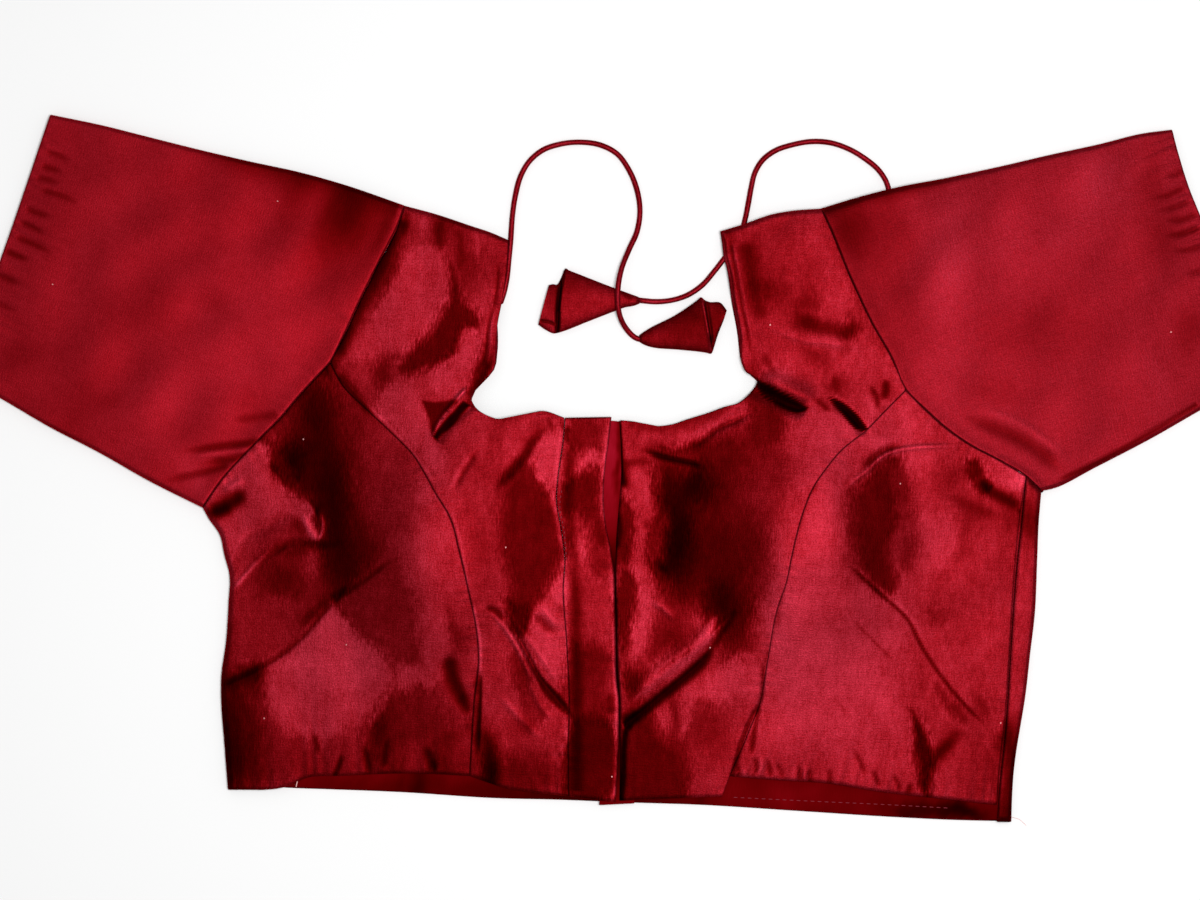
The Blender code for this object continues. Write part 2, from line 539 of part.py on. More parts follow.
def make_sleeve(name, low, top, cuff, armhole, silk, mirrored):
    """Flattened tube from the cuff to the armhole.

    A section runs round the low fold, over the face, round the top fold and back below.
    """
    turn = np.radians(np.linspace(-90, 90, 5))
    part = levels(0, 1, SLEEVE_ROWS)
    height = SLEEVE_CUFF_HEIGHT + (SLEEVE_HEAD_HEIGHT - SLEEVE_CUFF_HEIGHT) * part
    low_edge, top_edge = line(low)(part), line(top)(part)
    rim = (height / 2 / np.linalg.norm(top_edge - low_edge, axis=1))[:, None]
    low_fold, top_fold = rim * (1 - np.cos(turn)), 1 - rim * (1 - np.cos(turn[::-1]))
    face = rim + (1 - 2 * rim) * levels(0, 1, SLEEVE_COLUMNS)[1:-1]
    across = np.hstack([low_fold, face, top_fold, face[:, ::-1]])
    rising, count = (1 + np.sin(turn)) / 2, SLEEVE_COLUMNS - 1
    lift = np.concatenate([rising, np.ones(count), rising[::-1], np.zeros(count)])
    v, u = part[:, None, None], across[..., None]
    ring = (1 - u) * low_edge[:, None] + u * top_edge[:, None]
    ring = ring + (1 - v) * bulge(line(cuff), across) + v * bulge(armhole, across)
    sleeveward = ring[-2] - ring[-1]
    ring[-1] += ARMHOLE_GAP * sleeveward / np.linalg.norm(sleeveward, axis=1)[:, None]
    z = lift * height[:, None] + arch(ring[..., 0], ring[..., 1])
    mesh = bmesh.new()
    add_grid(mesh, np.dstack([ring, z]), closed=True, flipped=mirrored)
    thicken(new_object(name, mesh, silk), SLEEVE_WALL)


def make_sleeves(silk):
    left = armhole_edge(BACK_ARMHOLE_LEFT, UNDERARM, SHOULDER)
    right = armhole_edge(BACK_ARMHOLE_RIGHT, UNDERARM, SHOULDER)
    make_sleeve("sleeve_left", SLEEVE_LEFT_LOW, SLEEVE_LEFT_TOP, CUFF_LEFT, left, silk, mirrored=True)
    make_sleeve(
        "sleeve_right", SLEEVE_RIGHT_LOW, SLEEVE_RIGHT_TOP, CUFF_RIGHT, right, silk, mirrored=False
    )


def make_cord(name, route, material):
    """Round cord on the surface, through the route's points."""
    route = np.array(route, float)
    route[:, 2] += CORD_DIAMETER / 2 + CORD_CLEAR
    passed = np.concatenate([[0], np.cumsum(np.linalg.norm(np.diff(route, axis=0), axis=1))])
    count = round(passed[-1] / CORD_STEP) + 1
    points = line(np.column_stack([passed, route]))(np.linspace(0, passed[-1], count)) * MM
    curve = bpy.data.curves.new(name, "CURVE")
    curve.dimensions = "3D"
    curve.bevel_depth = CORD_DIAMETER / 2 * MM
    curve.bevel_resolution = 2
    curve.use_fill_caps = True
    spline = curve.splines.new("POLY")
    spline.points.add(len(points) - 1)
    spline.points.foreach_set("co", np.column_stack([points, np.ones(len(points))]).ravel())
    finish(bpy.data.objects.new(name, curve), material)


def make_latkan(name, rows, material):
    """Cone of folded cloth, pressed flat: thin at the neck, thick at the mouth, then a lower flap."""
    table = np.array(rows, float)
    upper, lower = line(table[:, [0, 1, 2]]), line(table[:, [0, 3, 4]])
    along = levels(0, 1, CONE_ROWS)
    across = levels(0, 1, CONE_COLUMNS)[None, :, None]
    outline = (1 - across) * lower(along)[:, None] + across * upper(along)[:, None]
    opening = LATKAN_NECK + (LATKAN_MOUTH - LATKAN_NECK) * along / LATKAN_FLAP
    thick = np.where(along < LATKAN_FLAP, opening, LATKAN_FLAP_HEIGHT)
    crown = 0.55 + 0.45 * np.sqrt(np.sin(np.pi * across[..., 0]).clip(0))
    height = thick[:, None] * crown
    mesh = bmesh.new()
    add_grid(mesh, np.dstack([outline, height]), flipped=name.endswith("left"))
    made = bmesh.ops.extrude_face_region(mesh, geom=mesh.faces[:])
    for item in made["geom"]:
        if isinstance(item, bmesh.types.BMVert):
            item.co.z = CORD_CLEAR * MM
    bmesh.ops.recalc_face_normals(mesh, faces=mesh.faces[:])
    new_object(name, mesh, material)


def new_material(name, colour, roughness, metallic):
    material = bpy.data.materials.new(name)
    material.use_nodes = True
    shader = material.node_tree.nodes["Principled BSDF"]
    shader.inputs["Base Color"].default_value = (*colour, 1)
    shader.inputs["Roughness"].default_value = roughness
    shader.inputs["Metallic"].default_value = metallic
    return material


def clear_scene():
    for found in list(bpy.data.objects):
        bpy.data.objects.remove(found, do_unlink=True)


def main():
    clear_scene()
    bpy.context.scene.collection.children.link(bpy.data.collections.new("choli_blouse"))
    silk = new_material("silk", (0.33, 0.012, 0.035), 0.45, 0.3)
    lining = new_material("lining", (0.30, 0.004, 0.045), 0.6, 0.0)
    cord = new_material("cord", (0.25, 0.006, 0.03), 0.6, 0.0)
    make_back(silk, lining)
    make_fronts(silk)
    make_underlap(lining)
    make_sleeves(silk)
    make_cord("dori_left", DORI_LEFT_ROUTE, cord)
    make_cord("dori_right", DORI_RIGHT_ROUTE, cord)
    make_latkan("latkan_left", LATKAN_LEFT, silk)
    make_latkan("latkan_right", LATKAN_RIGHT, silk)


main()
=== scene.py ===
"""A choli blouse of raw silk, laid flat with its front up: its looks, around the solids of the frame.

Tables are in millimetres, in the frame of the solids: +X to the right of the front, +Y to the shoulders,
+Z up from the surface that the blouse lies on. Left and right are those of someone who looks down on it.
A seam is a smooth line through rows of (level, x, y). The level counts rows of cloth from the hem, 0, by
the armhole's foot, 24, to the shoulder, 36.
"""

import math

import bmesh
import bpy
import numpy as np
from bpy.props import FloatProperty, FloatVectorProperty, PointerProperty
from bpy.types import Operator, Panel, PropertyGroup
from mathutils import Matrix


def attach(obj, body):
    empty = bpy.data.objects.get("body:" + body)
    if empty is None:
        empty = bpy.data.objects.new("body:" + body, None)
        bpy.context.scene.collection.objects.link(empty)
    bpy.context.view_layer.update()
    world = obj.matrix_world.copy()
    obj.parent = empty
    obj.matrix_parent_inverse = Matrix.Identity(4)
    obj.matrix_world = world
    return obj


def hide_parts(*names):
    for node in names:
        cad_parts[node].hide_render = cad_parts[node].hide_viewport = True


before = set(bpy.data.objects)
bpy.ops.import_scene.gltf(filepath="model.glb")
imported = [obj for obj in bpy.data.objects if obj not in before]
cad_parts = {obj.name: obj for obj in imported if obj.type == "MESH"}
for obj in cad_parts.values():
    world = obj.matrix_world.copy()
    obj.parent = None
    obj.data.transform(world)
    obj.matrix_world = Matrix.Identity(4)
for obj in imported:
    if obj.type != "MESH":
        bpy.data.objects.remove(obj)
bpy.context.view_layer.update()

bl_info = {
    "name": "Choli blouse",
    "version": (1, 0, 0),
    "blender": (4, 5, 0),
    "location": "View3D > Sidebar > Blouse",
    "description": "Makes a raw silk choli blouse with tie cords, laid flat",
    "category": "Add Mesh",
}

MM = 0.001
BODY = "root"

# Heights and walls
CLOTH_WALL = 1.0  # silk with its lining, pressed
FRONT_REST = 5.6  # top of the front where it lies flat
FRONT_SINK = 2.0  # how far a trough goes below that
SIDE_ROLL = FRONT_REST / 2  # radius of the back's fold along the right side
BACK_WALL = 1.1
SLEEVE_CUFF_HEIGHT = 5.2
SLEEVE_HEAD_HEIGHT = 6.8
LAYER_GAP = 0.3
SEAM_GAP = 0.08  # from each panel's edge to the seam's middle
CORD_DIAMETER = 3.2
CORD_CLEAR = 0.05
CORD_ARCH = CORD_DIAMETER + CORD_CLEAR + 2 * LAYER_GAP  # rise of the cloth over the hidden cord
CORD_ARCH_FLAT = 11.0  # the rise is level this far on both sides of the cord
CORD_ARCH_REACH = 26.0
LATKAN_NECK = 4.0
LATKAN_MOUTH = 7.0
FACING_WALL = 0.9
UNDERLAP_WALL = 0.6
UNDERLAP_CLEAR = 0.2
WALL_ROOM = 0.4  # from a front's wall down to its shell's underside
ROLL_ROOM = 0.5  # the underside of a rolled edge stays this far above the roll's top at most
RIM_ANGLE = math.radians(52)  # edges that turn by more are shaded sharp

# Lengths along the cloth, from which the number of points follows
EDGE_ROLL = 1.5  # width of the finer rows along an edge
SLEEVE_LENGTH = 255
SLEEVE_WIDTH = 180
SLEEVE_UNDER_COLUMNS = 40
HALF_BACK_WIDTH = 190
LEVEL_LENGTH = 10  # one level of the back
WRAP_WIDTH, WRAP_LENGTH = 20, 190  # of the back's fold round the right side
FACING_DEPTH, FACING_WIDTH = 28, 452
UNDERLAP_LENGTH, UNDERLAP_WIDTH = 226, 22
LATKAN_LENGTH, LATKAN_WIDTH, LATKAN_STEP = 62, 36, 0.7
FACING_STEP, UNDERLAP_STEP = 2.0, 1.5
CORD_STEP = 1.6

HEM, NECK_FOOT, BACK_NECK, UNDERARM, SHOULDER = 0, 18, 15, 24, 36  # levels
GRAIN_TURN = math.radians(-2)  # the body's grain from +Y
# Tone is painted shading: painted shade and highlight of the sheen, as a power of e of the colour's
# brightness
PAINTED_SHADING_LEAST, PAINTED_SHADING_MOST = -3.8, 0.9
TURN_PLACES = [(0, 5), (3, -3), (-3, -3)]  # where the tone is compared, to find how fast it changes
TURN_MOST = 1.2
WANDERS = [(0.8, 47, 71, 0.4), (0.8, 23, 37, 2.1), (0.5, 11, 19, 4.0), (0.3, 5.3, 9, 5.2)]  # see wandered
CORNER_LEVEL = 21  # above it the strip at the right side climbs along the armhole
PRINCESS_TOP_LEFT, PRINCESS_TOP_RIGHT = 31, 30  # levels on the back's armholes where the princess seams end
SIDE_SEAM_TOP = 24.6  # level on the back's right armhole where the side seam ends
PRINCESS_FOOT_RIGHT = 1.2  # below this level the centre panel's fold hides the right princess seam
FRONT_ARCH_REACH = 75.0  # the front spreads the cord's rise over this

# Stage, in metres
FLOOR_HALF = 4.0
LAMP_PLACE = (0.22, 0.02)
LAMP_BELOW_CAMERA = 0.15
CAMERA_PLACE = (-0.003, 0.0111)
LENS_MM = 90
SENSOR_MM = 36
VIEW_DEPTH = 50

# Seams and edges: rows of (level, x, y)
PRINCESS_LEFT = [
    (0, -81, -184), (1.8, -80, -166), (4.1, -78.5, -142), (7, -75.5, -112), (8.7, -77, -94),
    (10.7, -81, -74), (13, -86.5, -50), (15.3, -93.5, -26.5), (16.4, -101, -14.5), (17.6, -108, -2),
    (18.8, -116, 10), (19.5, -123, 17), (21.1, -141, 34), (22.5, -156, 48.5), (24, -164.5, 63.5),
]
PRINCESS_RIGHT = [
    (0, 70, -196.5), (2, 78, -176), (3.8, 86, -157), (5.5, 93, -139), (6.9, 95.5, -124),
    (8.3, 98, -109), (10.3, 102, -86), (12, 108, -67), (13.4, 111, -52), (14.7, 114.5, -37),
    (16, 119, -22.5), (17.1, 124, -11), (18.3, 132, 0.5), (19.5, 141, 11), (21, 156, 23),
    (22.5, 168, 35), (24, 180, 47),
]
ARMHOLE_LEFT_UPPER = [
    (24, -164.5, 63.5), (25.4, -159, 74), (27, -153, 86), (28.7, -147, 99.5), (30.2, -141, 111.5),
    (31.8, -135, 124), (33, -129, 134), (34.8, -123, 148), (36, -120, 157.5),
]
ARMHOLE_RIGHT_UPPER = [
    (24, 180, 47), (26.3, 171, 67), (28.7, 159, 88), (31.4, 147, 113), (34.6, 135, 142), (36, 129, 155.5),
]
PLACKET_STITCH = [
    (0, -22, -196.5), (2.7, -22, -163), (4.6, -21.5, -139), (7.5, -23, -103), (10, -25, -70),
    (11.2, -24, -55), (12.6, -26, -37), (14, -29, -19), (15.2, -28, -4), (16.9, -25, 17), (18, -24, 30.5),
]
PLACKET_EDGE = [
    (0, 6.5, -200), (2, 8, -175), (3.9, 8.5, -151), (4.9, 8.5, -139), (5.8, 7, -127), (7.7, 6.5, -103),
    (9.6, 6, -79), (11, 5.5, -61), (12, 3.5, -47.5), (13, 1, -35.5), (14, -0.5, -22), (14.9, -0.5, -10),
    (15.8, 0.5, 2), (17, 2.5, 17), (18, 4, 31),
]
NECK_LEFT = [
    (18, -24, 30.5), (19.2, -38.5, 34.5), (20, -48.5, 31), (21, -59.5, 29), (21.7, -67, 30.5),
    (22.5, -75, 34.5), (23.1, -78.5, 38.5), (23.6, -80, 43), (24.3, -76, 48.5), (25.1, -71, 53.5),
    (26, -66.5, 59.5), (27.5, -65.5, 71), (29, -64.4, 84.5), (31.2, -61.4, 101), (33, -59.2, 115.5),
    (36, -57.9, 137),
]
RIGHT_FRONT_EDGE = [
    (0, 8.5, -199), (2, 9, -175), (3.6, 9, -155.5), (4.9, 8.9, -139), (6.3, 7.8, -121),
    (8.6, 7, -91), (11.5, 6.3, -55), (12.6, 6.8, -40), (13.8, 8, -25), (15.2, 9.5, -7),
    (16.6, 9.5, 11), (18, 8.5, 29),
]
NECK_RIGHT = [
    (18, 8.5, 29), (18.7, 18, 28), (19.2, 24.5, 26), (19.8, 32.5, 25.5), (20.3, 40, 26.5),
    (21, 49, 29.5), (21.8, 62, 33.5), (22.4, 71.5, 37), (22.9, 80, 39.5), (23.3, 86, 44.5),
    (23.7, 90, 49.5), (24, 91, 52.5), (24.8, 84, 58), (25.4, 82, 62.5), (27.5, 81, 79.5),
    (30, 77.5, 98.5), (33, 74, 121), (34, 72, 127.5), (35.2, 71, 136), (36, 69.5, 142),
]
SIDE_LEFT = [
    (0, -226, -192.5), (3.8, -228, -166), (7.7, -230, -139), (9.6, -230, -125.5), (12.8, -227, -103),
    (16.2, -225.5, -79), (18.4, -225, -64), (20.1, -228, -52), (22, -231.5, -38.5),
    (23.2, -237.5, -30), (24, -241, -23.5),
]
SIDE_SEAM_RIGHT = [
    (0, 234.5, -201.5), (3.2, 236.5, -176.5), (6.5, 239.5, -149), (11, 242, -112), (15, 244, -79),
    (18.8, 246.5, -47), (21, 248.5, -28), (24, 252, -4.5),
]
SIDE_RIGHT = [
    (0, 243.5, -211.5), (2, 244, -196), (3.9, 245, -181), (5.3, 246.5, -169), (7, 249, -154),
    (8.8, 251.5, -139), (12.4, 255, -109), (15, 257.5, -88), (19, 259, -55), (22, 260, -31),
    (24, 261.5, -13.5),
]
BACK_ARMHOLE_LEFT = [
    (24, -241, -23.5), (25.3, -228, -5), (26.4, -216, 8), (27.2, -206, 18.5), (28.2, -195, 29.5),
    (29.3, -183, 43.5), (30.4, -171, 56.5), (31, -164.5, 63.5), (31.7, -159, 74), (33.1, -147, 99.5),
    (34.5, -135, 124), (35.5, -123, 148), (36, -120, 157.5),
]
BACK_ARMHOLE_RIGHT = [
    (24, 261.5, -13.5), (24.6, 252, -4.5), (25.6, 237, 4.5), (26.8, 219, 14), (27.7, 207, 22),
    (29, 192, 35), (30, 180, 47), (31.3, 171, 67), (32.6, 159, 88), (33.9, 147, 113), (35.4, 135, 142),
    (36, 129, 155.5),
]
BACK_MIDDLE = [(0, 10, -200), (5, 10, -156), (10, 10, -112), (14.5, 10, -72), (BACK_NECK, 10, -68)]
BACK_NECK_LEFT = [
    (15, 10, -68), (16, -15, -67), (17.2, -40, -58), (18.6, -60, -38), (20.4, -72, -8), (22.4, -78, 22),
    (24, -79.7, 42), (24.5, -77.6, 46.8), (25.3, -70.9, 53.6), (26.1, -66, 60), (27, -64.6, 68),
    (29.3, -64.5, 87), (31, -66.5, 100), (33, -62.6, 115), (36, -61, 137),
]
BACK_NECK_RIGHT = [
    (15, 10, -68), (16, 36, -67), (17.2, 60, -58), (18.6, 78, -38), (20.4, 86, -8), (22.4, 89, 20),
    (23.6, 92.5, 40), (24.3, 92.5, 50), (25.2, 85.5, 57.5), (26.2, 81.5, 64), (27.5, 79.5, 79.5),
    (30, 76, 98.5), (33, 72.5, 121), (34, 70.8, 127.5), (35.2, 69.8, 136), (36, 68.8, 142),
]

# Hems, shoulders and sleeve edges: rows of (part of the length, x, y)
HEM_FRONT_LEFT_SIDE = [
    (0, -226, -192.5), (0.24, -191, -190.5), (0.34, -177.5, -185), (0.47, -158.5, -184),
    (0.8, -110.5, -182.5), (1, -81, -184),
]
HEM_FRONT_LEFT = [(0, -81, -184), (0.32, -62.5, -190.5), (1, -22, -196.5)]
HEM_PLACKET = [(0, -22, -196.5), (1, 6.5, -200)]
HEM_FRONT_RIGHT = [(0, 9.5, -199), (1, 70, -196.5)]
HEM_FRONT_RIGHT_SIDE = [
    (0, 75.5, -184), (0.19, 105, -186.5), (0.38, 135, -188.5), (0.57, 165, -193.5), (0.75, 195, -197),
    (1, 234.5, -201.5),
]
HEM_BACK_LEFT = [
    (0, -226, -192.5), (0.07, -210, -191), (0.18, -183, -192), (0.44, -123, -194.5), (0.7, -63, -198.5),
    (0.85, -27, -199.5), (1, 10, -201),
]
HEM_BACK_RIGHT = [
    (0, 10, -201), (0.2, 57, -202.5), (0.46, 117, -206), (0.72, 177, -209.5), (0.88, 213, -211),
    (1, 241, -211.5),
]
PLACKET_HEAD = [(0, -24, 30.5), (1, 4, 31)]
UNDERLAP_HEM = [(0, -3.5, -196), (1, 18.5, -196)]
UNDERLAP_HEAD = [(0, -6, 28.5), (1, 17.5, 27)]
FACING_ENDS = [(-216, -190.6), (236, -210.5)]  # x, y of its lower corners
FACING_ABOVE_HEM = 1
SHOULDER_LEFT = [
    (0, -120, 157.5), (0.3, -101.5, 152.5), (0.67, -79, 145), (0.84, -68.5, 141.5), (1, -57.9, 137),
]
SHOULDER_RIGHT = [
    (0, 69.5, 142), (0.25, 84, 146.5), (0.51, 99.5, 152), (0.68, 110, 154), (1, 129, 155.5),
]
SLEEVE_LEFT_TOP = [
    (0, -332, 212), (0.13, -303, 206), (0.28, -273, 198.5), (0.42, -243, 191), (0.56, -213, 184),
    (0.7, -183, 177.5), (0.85, -153, 169), (1, -120, 157.5),
]
SLEEVE_LEFT_LOW = [
    (0, -387, 55.5), (0.16, -363, 42.5), (0.36, -333, 25), (0.57, -303, 9.5), (0.78, -273, -7.5),
    (1, -241, -23.5),
]
CUFF_LEFT = [(0, -387, 55.5), (0.5, -359, 133), (1, -332, 212)]
SLEEVE_RIGHT_TOP = [
    (0, 339.5, 203), (0.09, 321, 200.5), (0.2, 297, 194.5), (0.34, 267, 188), (0.48, 237, 181),
    (0.62, 207, 174.5), (0.79, 172, 167.5), (0.91, 147, 161), (1, 129, 155.5),
]
SLEEVE_RIGHT_LOW = [
    (0, 388, 52), (0.25, 356, 34.5), (0.46, 329, 19), (0.74, 293.5, 0.5), (0.92, 270, -11.5),
    (1, 261.5, -13.5),
]
CUFF_RIGHT = [
    (0, 388, 52), (0.47, 366, 124), (0.66, 356, 152), (0.76, 350, 167), (0.92, 342.5, 191),
    (1, 339.5, 203),
]

# Puff of the cups: rows of (height, x, y, reach across, reach along)
CUPS = [(12.0, -100, -52, 52, 72), (12.0, 122, -44, 50, 70)]

# Tie cords, from where each leaves the cloth: rows of (x, y, height of the middle above rest)
DORI_LEFT_ROUTE = [
    (-63, 98, 0), (-60.4, 106, 0), (-58.6, 115, 0), (-57.6, 125, 0), (-56.5, 137, 0), (-55.4, 152, 0),
    (-53.6, 164, 0), (-50.4, 175.5, 0), (-45, 184.5, 0), (-37, 191, 0), (-27, 194.4, 0), (-14.4, 195.6, 0),
    (-3, 194, 0), (7.2, 188.7, 0), (14.4, 179, 0), (19.2, 167, 0), (21, 154, 0), (19.2, 142, 0.3),
    (14.4, 131, 1.7), (9.8, 119, 4.1), (7.8, 108, 5.5), (7.8, 97, 5.3), (9.6, 89.5, 3.2), (13, 83.5, 1),
    (18.7, 78.2, 0),
]
DORI_RIGHT_ROUTE = [
    (106, 121.5, 0), (120, 127, 0), (138, 133.5, 0), (153, 142, 0), (165, 152.7, 0), (170.4, 162, 0),
    (169.2, 170.5, 0), (164.4, 178.5, 0), (156, 185.7, 0), (145.8, 191.7, 0), (135, 195.3, 0),
    (124.2, 196, 0), (112.2, 194, 0), (102, 190.5, 0), (94.2, 184.5, 0), (90, 177.5, 0), (87.6, 168, 0),
    (85.8, 158, 0), (83.7, 148, 0), (81.6, 140.7, 0), (77.4, 133.5, 0), (71.4, 125.7, 0), (65.4, 118, 0),
    (58.2, 109.8, 0), (49.2, 103.8, 0), (39.6, 100.8, 0), (30, 100, 0), (21.9, 100.7, 0),
]
SOCKET_LEFT = (22.6, 77, 0)  # end of the left cord inside the right cone
SOCKET_RIGHT = (19.6, 100.9, 0)  # end of the right cord inside the left cone
HIDDEN_RUNS = [  # stretches of the right cord that pass under the cloth
    [(106, 121.5), (120, 127), (138, 133.5), (153, 142), (165, 152.7), (170.4, 162), (169.2, 172)],
    [(85.8, 156), (83.7, 148), (81.6, 140.7), (77.4, 133.5), (71.4, 125.7), (66, 118)],
]

# Cloth cones: rows of (part of the length, upper edge x, y, lower edge x, y), from the tip to the flap
LATKAN_LEFT = [
    (0, 21.2, 102.4, 20.8, 98.9), (0.04, 18, 103.6, 18, 97.8), (0.14, 12, 105.8, 12, 96.6),
    (0.24, 6, 108, 6, 94.4), (0.5, -8, 113.4, -10.5, 88), (0.72, -21.6, 118.7, -25.6, 82.1),
    (0.76, -24, 119.6, -28, 81.4), (0.79, -26, 115, -29.3, 81.1), (0.83, -28, 110.9, -31, 81),
    (0.9, -31, 110.5, -35, 82.8), (1, -33.6, 110, -40, 86.2),
]
LATKAN_RIGHT = [
    (0, 20.6, 80, 20.4, 76.2), (0.05, 23, 81.7, 22.6, 74.7), (0.14, 27, 84.2, 27, 73),
    (0.4, 42, 91.8, 45, 71.2), (0.66, 55.5, 101, 61.3, 69.3), (0.7, 57.6, 102.6, 63.6, 68.8),
    (0.73, 59.4, 101.3, 64.4, 69.8), (0.79, 62.4, 99.9, 65.6, 73.4), (0.92, 69.6, 99.1, 68.2, 81.5),
    (1, 73, 94.8, 70.8, 88),
]
